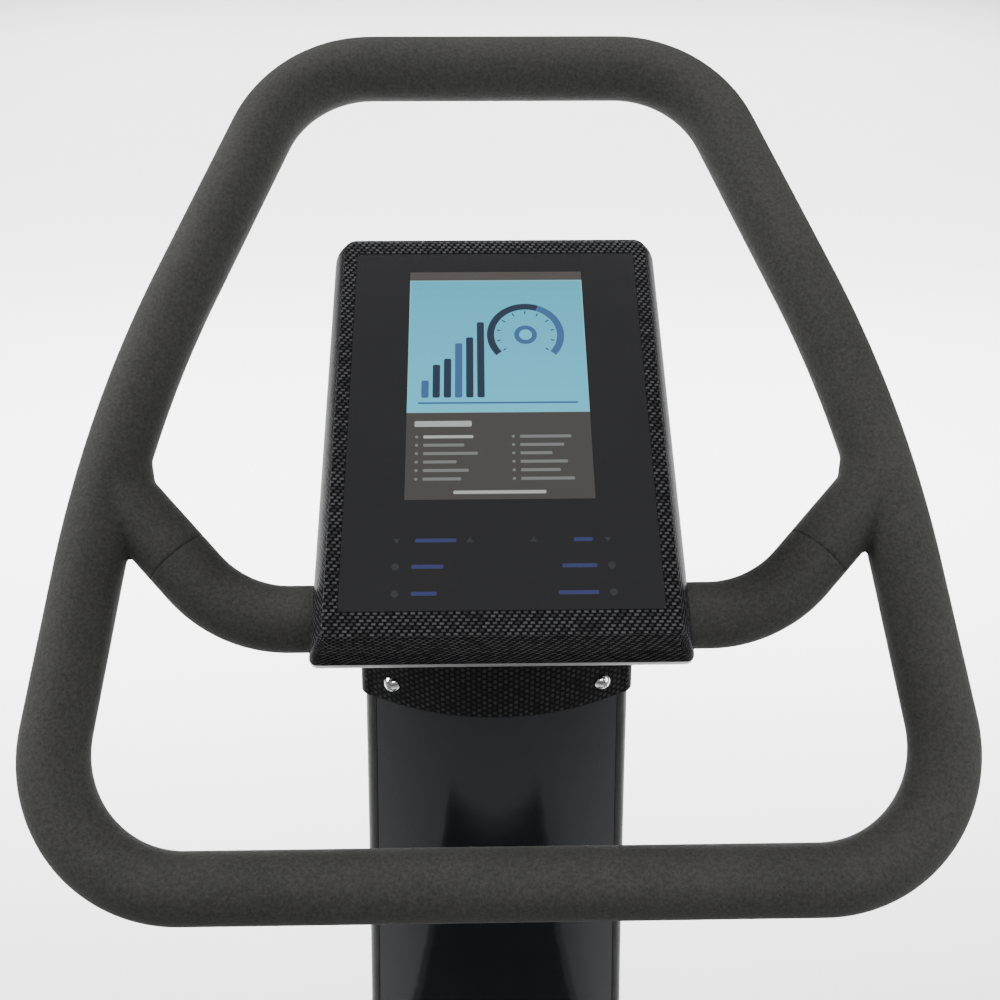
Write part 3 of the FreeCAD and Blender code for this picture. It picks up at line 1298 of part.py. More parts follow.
def make_rear_cover():
    """Moulded cover behind the deck, with a close-fitting opening for the column."""
    y0 = DECK_REAR_Y + REAR_COVER_GAP
    outside = base_block(0, SKIRT_TOP, 200).common(rear_cover_under(0))
    front_wall = box(-400, 400, y0, y0 + COVER_WALL, SKIRT_LIP_TOP, 200)
    hollow = base_block(SKIRT_WALL - SEAT_GAP, SKIRT_TOP,
                        200).common(rear_cover_under(COVER_WALL)).cut(front_wall)
    low = COLUMN_FOOT_Z - 10
    levels_up = levels(low, REAR_COVER_FRONT_TOP + 20, 3)
    hole = lofted([outline_section(z, -COVER_GAP) for z in levels_up])
    corners = [lofted([trim_clearance(z) for z in levels_up])]
    corners.append(mirrored(corners[0]))
    return without(outside, [hollow, hole] + corners)


def trim_clearance(z):
    """Section a little larger than the edge strip of the column."""
    outer = column_half(z) + COVER_GAP
    inner = column_half(z) - TRIM_WIDTH - 3
    y = front_y(z) + FRONT_BULGE - COVER_GAP * 3
    a = V(inner, y, z)
    b = V(outer, y + TRIM_RETURN + 3, z)
    crown = V(inner + (outer - inner) * 0.78, y + TRIM_RETURN * 0.22, z)
    c = V(inner, y + TRIM_RETURN + 3, z)
    return Part.Wire([arc(a, crown, b), line(b, c), line(c, a)])


def make_mount_posts():
    """Steel turrets that carry the rubber buffers."""
    pieces = []
    for x, y in MOUNT_POINTS:
        tube = ring(POST_RADIUS, POST_RADIUS - POST_WALL, POST_TOP - PAN_TOP - POST_CAP, V(x, y, PAN_TOP))
        cap = cylinder(POST_RADIUS, POST_CAP, V(x, y, POST_TOP - POST_CAP))
        foot = ring(POST_RADIUS + 10, POST_RADIUS - POST_WALL, 5, V(x, y, PAN_TOP))
        pieces.append(joined([tube, cap, foot]))
    return group(pieces)


def make_inverter():
    """Drive for the motors: a box with cooling fins along its top."""
    y0 = INVERTER_REAR_Y - INVERTER_LENGTH
    body = box(-INVERTER_HALF, INVERTER_HALF, y0, INVERTER_REAR_Y, PAN_TOP, PAN_TOP + INVERTER_HEIGHT)
    fins = []
    pitch = INVERTER_HALF * 2 / 16
    top = PAN_TOP + INVERTER_HEIGHT
    for i in range(15):
        x = -INVERTER_HALF + pitch * (i + 1)
        fins.append(box(x - 1.2, x + 1.2, y0 + 4, INVERTER_REAR_Y - 4, top, top + 12))
    socket = cylinder(CABLE_OD / 2 + SEAT_GAP, 8, V(0, INVERTER_REAR_Y - 8, cable_exit_z()), Y_AXIS)
    return joined([body] + fins).cut(socket)


def make_power_plate():
    """Plate in the back wall that holds the inlet and the switch."""
    half_z = POWER_PLATE_HEIGHT / 2
    y = BASE_REAR_Y
    plate = box(-POWER_PLATE_HALF, POWER_PLATE_HALF, y, y + POWER_PLATE_THICKNESS, POWER_Z - half_z,
                POWER_Z + half_z)
    upright = [e for e in plate.Edges if abs(e.BoundBox.YLength - POWER_PLATE_THICKNESS) < 0.01]
    plate = plate.makeFillet(3, upright)
    return without(plate, [inlet_body(SEAT_GAP), switch_body(SEAT_GAP)])


def inlet_body(grow):
    y = BASE_REAR_Y
    return box(INLET_X - 13.5 - grow, INLET_X + 13.5 + grow, y - 26, y + 10, POWER_Z - 9.7 - grow,
               POWER_Z + 9.7 + grow)


def switch_body(grow):
    y = BASE_REAR_Y
    return box(SWITCH_X - 14 - grow, SWITCH_X + 14 + grow, y - 22, y + 10, POWER_Z - 11 - grow,
               POWER_Z + 11 + grow)


def make_mains_inlet():
    """Appliance inlet with three blades in a recess."""
    y = BASE_REAR_Y + POWER_PLATE_THICKNESS
    body = inlet_body(0).common(box(-100, 100, y - 28, y, 0, 200))
    flange = box(INLET_X - 16, INLET_X + 16, y, y + 2, POWER_Z - 12.5, POWER_Z + 12.5)
    recess = box(INLET_X - 12.2, INLET_X + 12.2, y - 16, y + 2, POWER_Z - 8.2, POWER_Z + 8.2)
    blades = [box(INLET_X + dx - 1, INLET_X + dx + 1, y - 17, y - 3, POWER_Z + dz - 2, POWER_Z + dz + 2)
              for dx, dz in ((-7, -1), (0, 3), (7, -1))]
    return joined([joined([body, flange]).cut(recess)] + blades)


def make_switch_frame():
    """Housing of the rocker switch."""
    y = BASE_REAR_Y + POWER_PLATE_THICKNESS
    body = switch_body(0).common(box(-100, 100, y - 20, y, 0, 200))
    flange = box(SWITCH_X - 16, SWITCH_X + 16, y, y + 2, POWER_Z - 13, POWER_Z + 13)
    well = box(SWITCH_X - 11.5, SWITCH_X + 11.5, y - 12, y + 2, POWER_Z - 8.6, POWER_Z + 8.6)
    pin = cylinder(1.5, 27, V(SWITCH_X - 13.5, y - 5, POWER_Z), X_AXIS)
    return joined([joined([body, flange]).cut(well), pin])


def make_power_rocker():
    """Rocker that tips about a pin across the switch; it rests in its off position."""
    y = BASE_REAR_Y + POWER_PLATE_THICKNESS
    x0 = SWITCH_X - 11.2
    outline = [(y - 8, POWER_Z - 3.5), (y - 1, POWER_Z - 7.2), (y + 3.4, POWER_Z - 7.2), (y + 1.2, POWER_Z),
               (y + 3.4, POWER_Z + 7.2), (y - 1, POWER_Z + 7.2), (y - 8, POWER_Z + 3.5)]
    body = side_plate(outline, [1, 1, 1, 0, 1, 1, 1], x0, x0 + 22.4)
    body = body.cut(cylinder(1.5 + RUNNING_GAP, 40, V(SWITCH_X - 20, y - 5, POWER_Z), X_AXIS))
    body.rotate(V(SWITCH_X, y - 5, POWER_Z), X_AXIS, -ROCKER_TILT)
    return body


def make_foot(x, y):
    """Levelling foot: ribbed pad on a stud."""
    pad = Part.makeCone(FOOT_RADIUS, FOOT_RADIUS - 4, FOOT_PAD, V(x, y, 0))
    collar = cylinder(STUD_R + 4, 5, V(x, y, FOOT_PAD - 1))
    stud = cylinder(STUD_R, FOOT_STUD_TOP - FOOT_PAD, V(x, y, FOOT_PAD))
    return joined([pad, collar, stud])


def make_foot_lock_nuts():
    pieces = []
    for x, y in FOOT_POINTS.values():
        corners = Part.makePolygon([
            V(x + 9.8 * math.cos(math.radians(60 * i)), y + 9.8 * math.sin(math.radians(60 * i)),
              PAN_TOP + FOOT_BOSS)
            for i in range(7)
        ])
        nut = Part.Face(corners).extrude(V(0, 0, LOCK_NUT))
        pieces.append(nut.cut(cylinder(STUD_R + RUNNING_GAP, LOCK_NUT, V(x, y, PAN_TOP + FOOT_BOSS))))
    return group(pieces)


def make_transport_wheel(x):
    """Wheel with a rounded tread, a recessed web on both sides and a bored hub."""
    half = WHEEL_WIDTH / 2
    rim = WHEEL_RADIUS - 7
    wheel = cylinder(WHEEL_RADIUS, WHEEL_WIDTH, V(x - half, WHEEL_Y, WHEEL_Z), X_AXIS)
    wheel = wheel.makeFillet(4, [e for e in wheel.Edges if e.BoundBox.XLength < 0.01])
    dish = [ring(rim, AXLE_RADIUS + 5, 6, V(x0, WHEEL_Y, WHEEL_Z), X_AXIS) for x0 in (x - half, x + half - 6)]
    bore = cylinder(AXLE_RADIUS + RUNNING_GAP, WHEEL_WIDTH, V(x - half, WHEEL_Y, WHEEL_Z), X_AXIS)
    return without(wheel, dish + [bore])


def make_wheel_brackets():
    """Pressed steel cheeks each side of a wheel, standing on the pan's floor, with a riveted pin."""
    pieces = []
    half = WHEEL_WIDTH / 2 + WHEEL_SIDE
    reach = half + CHEEK
    y0 = WHEEL_Y - WHEEL_RADIUS - WHEEL_ROOM - BRACKET_FOOT
    top = WHEEL_Z + WHEEL_RADIUS + WHEEL_ROOM
    for x in (-WHEEL_X, WHEEL_X):
        outline = [(y0, PAN_TOP), (WHEEL_Y - BRACKET_FOOT, PAN_TOP),
                   (WHEEL_Y + AXLE_BOSS, WHEEL_Z - AXLE_BOSS),
                   (WHEEL_Y + AXLE_BOSS, WHEEL_Z + AXLE_BOSS), (WHEEL_Y - BRACKET_FOOT - CHEEK, top + CHEEK),
                   (y0, top + CHEEK)]
        cheeks = [side_plate(outline, [0, 4, 8, 8, 6, 0], x + s, x + s + CHEEK) for s in (-reach, half)]
        web = box(x - reach, x + reach, y0, y0 + CHEEK, PAN_TOP, top + CHEEK)
        pin = cylinder(AXLE_RADIUS, 2 * reach, V(x - reach, WHEEL_Y, WHEEL_Z), X_AXIS)
        heads = [cylinder(AXLE_RADIUS + 2.2, AXLE_HEAD, V(x0, WHEEL_Y, WHEEL_Z), X_AXIS)
                 for x0 in (x - reach - AXLE_HEAD, x + reach)]
        pieces.append(joined(cheeks + [web, pin] + heads))
    return group(pieces)


# ---------------------------------------------------------------- strap hook
def hook_frame():
    """Seat of the hook on the panel's crown, the direction out of the panel there and up along it."""
    lean_back = math.asin((COLUMN_REF_Z - HOOK_Z) / COLUMN_FRONT_R)
    out = V(0, -math.cos(lean_back), math.sin(lean_back))
    return V(0, front_y(HOOK_Z), HOOK_Z), out, out.cross(X_AXIS) * -1


def hook_studs(grow):
    seat, out, _ = hook_frame()
    reach = COVER_WALL + 14
    return [cylinder(HOOK_ROD + grow, reach, seat + V(x, 0, 0) + out * 4, out * -1) for x in (-HOOK_HALF,
                                                                                              HOOK_HALF)]


def make_strap_hook():
    """Bent rod: two legs through the panel, turned up and joined across, each with a nut behind."""
    seat, out, up = hook_frame()
    leg = [out * -(COVER_WALL + 10), out * (HOOK_REACH * 0.6), out * HOOK_REACH + up * HOOK_RISE]
    side = V(HOOK_HALF, 0, 0)
    path = [seat - side + step for step in leg] + [seat + side + step for step in reversed(leg)]
    rod = swept(open_path(path, [8, 8, 8, 8]), HOOK_ROD)
    sag = FRONT_BULGE * (HOOK_HALF / (column_half(HOOK_Z) - TRIM_WIDTH)) ** 2
    nuts = []
    for x in (-HOOK_HALF, HOOK_HALF):
        back = seat + V(x, sag, 0) - out * (COVER_WALL + 0.6)
        nuts.append(ring(HOOK_ROD * 1.9, HOOK_ROD, 5, back, out * -1))
    return joined([rod] + nuts)


# ---------------------------------------------------------------- run
def save(name, shape):
    shape.exportStep(os.path.join("parts", name + ".step"))


def save_head():
    save("grip_loop_tube", make_grip_loop_tube())
    save("cross_arm", make_cross_arm())
    save("loop_foam", make_loop_foam())
    foam = make_arm_foam()
    save("arm_foam_right", foam)
    save("arm_foam_left", mirrored(foam))
    save("arm_grommets", make_arm_grommets())
    save("console_bezel", make_console_bezel())
    save("console_rim", make_console_rim())
    save("console_back", make_console_back())
    save("console_glass", make_console_glass())
    save("lcd_module", make_lcd_module())
    save("touch_board", make_touch_board())
    save("console_screws", make_console_screws())
    save("console_bolts", make_console_bolts())


def save_neck_and_column():
    save("neck_cowl", make_neck_cowl())
    save("neck_cap", make_neck_cap())
    save("cowl_screws", make_cowl_screws())
    save("neck_bracket", make_neck_bracket())
    save("neck_bolts", make_neck_bolts())
    save("column_front_panel", make_column_front_panel())
    trim = make_column_trim()
    save("column_trim_right", trim)
    save("column_trim_left", mirrored(trim))
    save("column_rear_shell", make_column_rear_shell())
    save("column_formers", make_column_formers())
    save("mast", make_mast())
    save("mast_bolts", make_mast_bolts())
    save("signal_cable", make_signal_cable())
    save("strap_hook", make_strap_hook())


def save_base():
    save("base_pan", make_base_pan())
    save("base_skirt", make_base_skirt())
    save("rear_cover", make_rear_cover())
    save("mount_posts", make_mount_posts())
    save("inverter", make_inverter())
    save("power_plate", make_power_plate())
    save("mains_inlet", make_mains_inlet())
    save("switch_frame", make_switch_frame())
    save("power_rocker", make_power_rocker())
    for name, (x, y) in FOOT_POINTS.items():
        save("foot_" + name, make_foot(x, y))
    save("foot_lock_nuts", make_foot_lock_nuts())
    save("transport_wheel_left", make_transport_wheel(-WHEEL_X))
    save("transport_wheel_right", make_transport_wheel(WHEEL_X))
    save("wheel_brackets", make_wheel_brackets())


def save_deck():
    save("deck_plate", make_deck_plate())
    save("deck_trim", make_deck_trim())
    save("deck_mat", make_deck_mat())
    save("rubber_mounts", make_rubber_mounts())
    save("mount_plates", make_mount_plates())
    save("motor_stators", make_motor_stators())
    save("motor_bearings", make_motor_bearings())
    save("motor_end_covers", make_motor_end_covers())
    save("motor_bolts", make_motor_bolts())
    for name, y in MOTOR_YS.items():
        save(name + "_motor_housing", make_motor_housing(y))
        save(name + "_rotor", make_rotor(y))
        save(name + "_weights", make_rotor_weights(y))


def main():
    os.makedirs("parts", exist_ok=True)
    save_head()
    save_neck_and_column()
    save_base()
    save_deck()


main()
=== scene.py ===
"""Vibration plate: foam grips, glossy covers, glass console and studio light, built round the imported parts.

Units are metres. +Z is up and the user stands at -Y. Every piece is modelled where it sits.
"""
import json
import math

import bmesh
import bpy
import numpy as np
from mathutils import Matrix, Vector


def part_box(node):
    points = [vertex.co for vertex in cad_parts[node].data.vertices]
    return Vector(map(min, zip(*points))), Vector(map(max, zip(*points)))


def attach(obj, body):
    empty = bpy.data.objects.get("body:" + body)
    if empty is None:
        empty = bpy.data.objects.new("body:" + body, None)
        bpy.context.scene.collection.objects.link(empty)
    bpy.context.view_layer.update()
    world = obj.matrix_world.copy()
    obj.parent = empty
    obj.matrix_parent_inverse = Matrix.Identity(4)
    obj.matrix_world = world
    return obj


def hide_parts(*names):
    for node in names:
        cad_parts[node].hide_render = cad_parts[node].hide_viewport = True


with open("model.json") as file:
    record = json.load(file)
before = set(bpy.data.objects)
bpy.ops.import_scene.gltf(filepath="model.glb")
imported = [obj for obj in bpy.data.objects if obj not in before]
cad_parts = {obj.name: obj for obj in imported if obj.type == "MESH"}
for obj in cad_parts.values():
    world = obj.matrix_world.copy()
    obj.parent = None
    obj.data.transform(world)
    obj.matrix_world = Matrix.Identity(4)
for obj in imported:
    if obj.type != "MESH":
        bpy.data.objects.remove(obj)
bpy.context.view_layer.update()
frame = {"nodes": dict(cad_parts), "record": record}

NODES = frame["nodes"]
MM = 0.001

# ------------------------------------------------------------ sizes
FOAM_RADIUS = 23 * MM
FOAM_WALL = 6.8 * MM
TUBE_BEND = 88 * MM
KNEE_BEND = 820 * MM
LOOP_LOWER_HALF = 303.6 * MM
LOOP_KNEE_HALF = 264.8 * MM
LOOP_KNEE_AT = 310 * MM
LOOP_UPPER_HALF = 151 * MM
ARM_CORNER = 182.6 * MM
ARM_TILT = math.radians(48)
ARM_LEG_ANGLE = math.radians(48)
ARM_LEG = 131 * MM
STUB_LENGTH = 74 * MM          # from the loop's axis to the butt seam of the arm's sleeve
CROTCH_SOFT = 42 * MM
CROTCH_STEPS = [width * MM for width in (12, 10, 8, 8, 6, 6, 4, 4, 3, 3, 2, 1.5, 1, 1, 0.8, 0.8)]
CROTCH_BELOW = 6 * MM           # the soft crotch starts this far under the arm's axis
CROTCH_RISE = 24 * MM
CROTCH_INSET = 4 * MM
CROTCH_FADE = 20 * MM
STUB_REACH = 1.4               # length of the stub's field, in stub lengths
JUNCTION_REACH = 1.5           # what counts as near a junction, in stub lengths
LEAST_SLOPE = 0.15
SEAM_ROUND = 0.25 * MM
SEAM_GAP = 0.05 * MM
FOAM_VOXEL = 2.1 * MM

CONSOLE_TILT = math.radians(25)
FACE_HALF = 109 * MM
FACE_LENGTH = 311 * MM
FACE_CORNER = 8 * MM
FACE_WALL = 5 * MM
BEZEL_FLARE = 10.7 * MM
BEZEL_DEPTH = 24.5 * MM
BEZEL_WALL = 3 * MM
EDGE_ROUND = 1.0 * MM
WALL_SQUEEZE = 1.7
WALL_ROLL = (0.8, 1.3)          # stretch of a quarter turn that the wall's bow follows
NEAR_CORNER = 5 * MM
NEAR_TUCK = 2.4 * MM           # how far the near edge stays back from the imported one
NEAR_GROW = 0.86               # growth of the near edge and of the far corners, as shares of the sides'
CORNER_GROW = 0.35
GROOVE_IN = 0.25 * MM          # fine groove under the face's rolled edge
GROOVE_TOP = 0.15 * MM
GROOVE_LOW = 0.6 * MM
WALL_START = 0.7 * MM
RIM_DEPTH = 5.5 * MM
RIM_ROUND = 0.9 * MM
RIM_UNDERCUT = 0.4 * MM
TUB_NEAR = 13 * MM
TUB_TUCK = 7 * MM
RIM_WIDTH = 10 * MM
GLASS_HALF = 100.5 * MM
GLASS_LENGTH = 280 * MM
GLASS_MARGIN = 18.6 * MM
GLASS_THICKNESS = 2.5 * MM
GLASS_CORNER = 3 * MM
GLASS_CHAMFER = 0.08 * MM
GLASS_LEDGE = 6 * MM
LEDGE_CORNER = 1 * MM
LIP_CHAMFER = 0.1 * MM
LIP_DEPTH = 0.12 * MM
GLASS_GAP = 0.2 * MM
LCD_HALF = 61.5 * MM
LCD_LENGTH = 186 * MM
LCD_FROM = 95.5 * MM
MARK_STEP = 0.05 * MM          # height of each layer of marks over the glass

FRONT_BULGE = 26 * MM
NECK_BOW = 0.05
SIDE_FACING = 0.75
TOP_FACING = 0.8
WEAVE_RELIEF = 0.12 * MM
COAT_RELIEF = 0.35             # share of the weave's relief that the clear coat follows
MAT_MARGIN = 26 * MM
MAT_SINK = 0.4 * MM

ROOM_LIGHT = 0.3
LEFT_BOX = 66.0
RIGHT_BOX = 15.0
TOP_BOX = 34.0
FLOOR_WASH = 760.0
NEAR_WASH = FLOOR_WASH * 0.15
FLOOR_HALF = 12.0
CAMERA_PLACE = (-0.0139, -0.3675, 1.767)
CAMERA_TURN = -1.13
CAMERA_DOWN = 36.87
CAMERA_ROLL = 0.186


# ------------------------------------------------------------ node trees
class Tree:
    """Adds nodes to a shader or geometry tree; an input takes a value or another node's output."""

    def __init__(self, tree):
        self.tree = tree

    def add(self, kind, inputs=None, **settings):
        node = self.tree.nodes.new(kind)
        for name, value in settings.items():
            setattr(node, name, value)
        for key, value in (inputs or {}).items():
            self.feed(node.inputs[key], value)
        return node

    def feed(self, socket, value):
        if isinstance(value, bpy.types.NodeSocket):
            self.tree.links.new(value, socket)
        else:
            socket.default_value = value

    def math(self, operation, first, second=0.0, third=0.0):
        inputs = {0: first, 1: second, 2: third}
        return self.add("ShaderNodeMath", inputs, operation=operation).outputs[0]

    def mix(self, factor, first, second):
        inputs = {"Factor": factor, 6: first, 7: second}
        return self.add("ShaderNodeMix", inputs, data_type="RGBA").outputs[2]

    def range(self, value, low, high, to_low=0.0, to_high=1.0):
        inputs = {"Value": value, "From Min": low, "From Max": high, "To Min": to_low, "To Max": to_high}
        return self.add("ShaderNodeMapRange", inputs, interpolation_type="SMOOTHSTEP").outputs[0]

    def noise(self, place, scale, detail=3.0, rough=0.5):
        inputs = {"Vector": place, "Scale": scale, "Detail": detail, "Roughness": rough}
        return self.add("ShaderNodeTexNoise", inputs).outputs["Fac"]

    def bump(self, height, distance):
        inputs = {"Height": height, "Distance": distance, "Strength": 1.0}
        return self.add("ShaderNodeBump", inputs).outputs["Normal"]

    def place(self):
        """Where a point lies on its piece, in metres."""
        return self.add("ShaderNodeTexCoord").outputs["Object"]


def shader_group(name, inputs, outputs):
    """Empty shader group; inputs are (name, socket kind, default)."""
    tree = bpy.data.node_groups.new(name, "ShaderNodeTree")
    for label, kind, value in inputs:
        tree.interface.new_socket(label, in_out="INPUT", socket_type=kind).default_value = value
    for label, kind in outputs:
        tree.interface.new_socket(label, in_out="OUTPUT", socket_type=kind)
    made = Tree(tree)
    return made, made.add("NodeGroupInput").outputs, made.add("NodeGroupOutput").inputs


FLOAT = "NodeSocketFloat"
COLOUR = "NodeSocketColor"


def make_grain_group():
    """Moulded grain: small rounded pebbles over a slow unevenness. Size is one pebble's, in metres."""
    outputs = [("Height", FLOAT), ("Tone", FLOAT)]
    tree, given, out = shader_group("moulded grain", [("Size", FLOAT, 0.001)], outputs)
    place = tree.place()
    scale = tree.math("DIVIDE", 1.0, given["Size"])
    cells = tree.add("ShaderNodeTexVoronoi", {"Vector": place, "Scale": scale}, feature="SMOOTH_F1")
    fine = tree.noise(place, tree.math("MULTIPLY", scale, 0.6), 4.0, 0.6)
    slow = tree.noise(place, 22.0, 2.0)
    pebble = tree.math("SUBTRACT", 1.0, cells.outputs["Distance"])
    tree.feed(out["Height"], tree.math("MULTIPLY_ADD", fine, 0.7, pebble))
    tree.feed(out["Tone"], tree.math("MULTIPLY_ADD", slow, 0.6, tree.math("MULTIPLY", fine, 0.4)))
    return tree.tree


def make_handling_group():
    """Handling marks: slow smears and fine rubs that change how rough a surface is."""
    tree, given, out = shader_group(
        "handling marks", [("Roughness", FLOAT, 0.3), ("Spread", FLOAT, 0.1)], [("Roughness", FLOAT)])
    place = tree.place()
    smear = tree.noise(place, 14.0, 3.0)
    rub = tree.noise(place, 240.0, 2.0)
    both = tree.math("MULTIPLY_ADD", rub, 0.3, smear)
    centred = tree.math("SUBTRACT", both, 0.65)
    tree.feed(out["Roughness"], tree.math("MULTIPLY_ADD", centred, given["Spread"], given["Roughness"]))
    return tree.tree


def make_dust_group():
    """Thin dust that settles on what faces up, in uneven patches."""
    tree, given, out = shader_group(
        "settled dust", [("Color", COLOUR, (0.1, 0.1, 0.1, 1)), ("Amount", FLOAT, 0.1)], [("Color", COLOUR)])
    normal = tree.add("ShaderNodeNewGeometry").outputs["Normal"]
    facing = tree.add("ShaderNodeSeparateXYZ", {0: normal}).outputs["Z"]
    patches = tree.noise(tree.place(), 9.0, 5.0, 0.65)
    cover = tree.math("MULTIPLY", tree.range(facing, 0.2, 1.0), tree.range(patches, 0.35, 0.75))
    share = tree.math("MULTIPLY", cover, given["Amount"])
    tree.feed(out["Color"], tree.mix(share, given["Color"], (0.42, 0.40, 0.37, 1)))
    return tree.tree


def make_weave_group():
    """Woven tows on the piece's UV map, in metres: staggered floats, each a small crowned dash."""
    sizes = [("Pitch", FLOAT, 0.0046), ("Row", FLOAT, 0.0023), ("Shift", FLOAT, 0.62)]
    outputs = [("Dash", FLOAT), ("Height", FLOAT), ("Tone", FLOAT)]
    tree, given, out = shader_group("woven tows", sizes, outputs)
    uv = tree.add("ShaderNodeTexCoord").outputs["UV"]
    across = tree.add("ShaderNodeSeparateXYZ", {0: uv})
    v = tree.math("DIVIDE", across.outputs["Y"], given["Row"])
    row = tree.math("FLOOR", v)
    u = tree.math("DIVIDE", across.outputs["X"], given["Pitch"])
    u = tree.math("MULTIPLY_ADD", row, given["Shift"], u)
    along = tree.math("ABSOLUTE", tree.math("SUBTRACT", tree.math("FRACT", u), 0.5))
    upward = tree.math("ABSOLUTE", tree.math("SUBTRACT", tree.math("FRACT", v), 0.5))
    ends = tree.range(along, 0.20, 0.36, 1.0, 0.0)
    sides = tree.range(upward, 0.16, 0.46, 1.0, 0.0)
    dash = tree.math("MULTIPLY", ends, sides)
    under = tree.math("MULTIPLY", tree.range(along, 0.36, 0.5, 0.0, 1.0), 0.25)
    tree.feed(out["Dash"], dash)
    tree.feed(out["Height"], tree.math("ADD", dash, under))
    cell = tree.add("ShaderNodeCombineXYZ", {0: tree.math("FLOOR", u), 1: row}).outputs[0]
    chance = tree.add("ShaderNodeTexWhiteNoise", {"Vector": cell}, noise_dimensions="2D")
    tree.feed(out["Tone"], chance.outputs["Value"])
    return tree.tree


def make_brushed_group():
    """Brushed or rolled lines: noise squeezed by Along, which holds a factor for each axis."""
    inputs = [("Along", "NodeSocketVector", (1, 60, 60))]
    tree, given, out = shader_group("brushed lines", inputs, [("Lines", FLOAT)])
    both = {0: tree.place(), 1: given["Along"]}
    squeezed = tree.add("ShaderNodeVectorMath", both, operation="MULTIPLY").outputs[0]
    tree.feed(out["Lines"], tree.noise(squeezed, 30.0, 6.0, 0.7))
    return tree.tree


GRAIN = make_grain_group()
HANDLING = make_handling_group()
DUST = make_dust_group()
WEAVE = make_weave_group()
BRUSHED = make_brushed_group()


def group_node(tree, group, **inputs):
    node = tree.add("ShaderNodeGroup", node_tree=group)
    for name, value in inputs.items():
        tree.feed(node.inputs[name], value)
    return node.outputs


def start_material(name, **constants):
    """New material with its Principled shader; constants go straight onto the shader's own sockets."""
    material = bpy.data.materials.new(name)
    material.use_nodes = True
    tree = Tree(material.node_tree)
    shader = material.node_tree.nodes["Principled BSDF"]
    for label, value in constants.items():
        shader.inputs[label.replace("_", " ")].default_value = value
    return material, tree, shader


def wire(tree, shader, **values):
    """Feeds inputs of a shader, each by its name."""
    for label, value in values.items():
        tree.feed(shader.inputs[label.replace("_", " ")], value)


def marked(tree, roughness, spread):
    """Roughness with handling marks."""
    return group_node(tree, HANDLING, Roughness=roughness, Spread=spread)["Roughness"]


def dusted(tree, colour, amount):
    return group_node(tree, DUST, Color=colour, Amount=amount)["Color"]


def grey(level, tint=(1, 1, 1)):
    return (level * tint[0], level * tint[1], level * tint[2], 1)


def moulded(name, colour, roughness, grain=0.8 * MM, depth=0.05 * MM, dust=0.03, spread=0.12, **constants):
    """Moulded plastic, rubber or paint: grain, a little unevenness in tone, handling marks and dust."""
    material, tree, shader = start_material(name, **constants)
    pebbles = group_node(tree, GRAIN, Size=grain)
    paler = tuple(min(1, c * 1.18 + 0.002) for c in colour[:3]) + (1,)
    darker = tuple(c * 0.84 for c in colour[:3]) + (1,)
    skin = tree.mix(tree.range(pebbles["Tone"], 0.25, 0.75), darker, paler)
    wire(tree, shader, Base_Color=dusted(tree, skin, dust), Roughness=marked(tree, roughness, spread),
         Normal=tree.bump(pebbles["Height"], depth))
    return material


def brushed(name, colour, roughness, along, depth=0.01 * MM, spread=0.16):
    """Bare or anodised metal with fine lines."""
    material, tree, shader = start_material(name, Metallic=1.0)
    lines = group_node(tree, BRUSHED, Along=along)["Lines"]
    wire(tree, shader,
         Base_Color=tree.mix(tree.range(lines, 0.3, 0.7), grey(0.86, colour), grey(1.0, colour)),
         Roughness=tree.math("MULTIPLY_ADD", lines, 0.12, marked(tree, roughness, spread)),
         Normal=tree.bump(lines, depth))
    return material


def make_foam_material():
    """Closed-cell foam: fine pebbled skin with open pores, painted darker as shade inside them, and a faint
    bloom.
    """
    material, tree, shader = start_material(
        "grip foam", IOR=1.4, Sheen_Weight=0.03, Sheen_Roughness=0.5, Specular_IOR_Level=0.15)
    place = tree.place()
    fine = group_node(tree, GRAIN, Size=1.3 * MM)
    coarse = tree.noise(place, 420.0, 4.0, 0.7)
    slow = tree.noise(place, 7.0, 2.0)
    pores = tree.add("ShaderNodeTexVoronoi", {"Vector": place, "Scale": 480.0}).outputs["Distance"]
    pore_with_painted_shade = tree.range(pores, 0.08, 0.26, 1.0, 0.0)
    tone = tree.math("MULTIPLY_ADD", slow, 0.2, tree.math("MULTIPLY", coarse, 0.8))
    skin = tree.mix(tree.range(tone, 0.3, 0.7), (0.0185, 0.0185, 0.0175, 1), (0.0365, 0.0362, 0.0345, 1))
    # pores painted darker: painted shade inside them
    skin = tree.mix(tree.math("MULTIPLY", pore_with_painted_shade, 0.45), skin, (0.007, 0.007, 0.007, 1))
    height = tree.math("ADD", fine["Height"], tree.math("MULTIPLY", coarse, 1.6))
    height = tree.math("MULTIPLY_ADD", pore_with_painted_shade, -0.8, height)
    wire(tree, shader, Base_Color=dusted(tree, skin, 0.02), Roughness=marked(tree, 0.8, 0.2),
         Normal=tree.bump(height, 0.2 * MM))
    return material


def make_weave_material(name, pitch, row, shift, pale):
    """Carbon twill: pale crowned dashes on a near-black ground, under a thin clear coat; the dashes' paleness
    is partly printed pattern and partly painted sheen of the tows.
    """
    material, tree, shader = start_material(
        name, Specular_IOR_Level=0.0, Coat_Weight=0.16, Coat_Roughness=0.1, Coat_IOR=1.35)
    weave = group_node(tree, WEAVE, Pitch=pitch, Row=row, Shift=shift)
    # pale dashes: partly printed pattern, partly painted sheen of the tows
    dash_print_and_sheen = tree.math("MULTIPLY", weave["Dash"], tree.range(weave["Tone"], -0.6, 1.0))
    wire(tree, shader,
         Base_Color=tree.mix(dash_print_and_sheen, (0.004, 0.004, 0.0045, 1), (pale, pale, pale * 1.04, 1)),
         Roughness=tree.math("MULTIPLY_ADD", weave["Dash"], 0.1, 0.3),
         Normal=tree.bump(weave["Height"], WEAVE_RELIEF),
         Coat_Normal=tree.bump(weave["Height"], WEAVE_RELIEF * COAT_RELIEF))
    return material


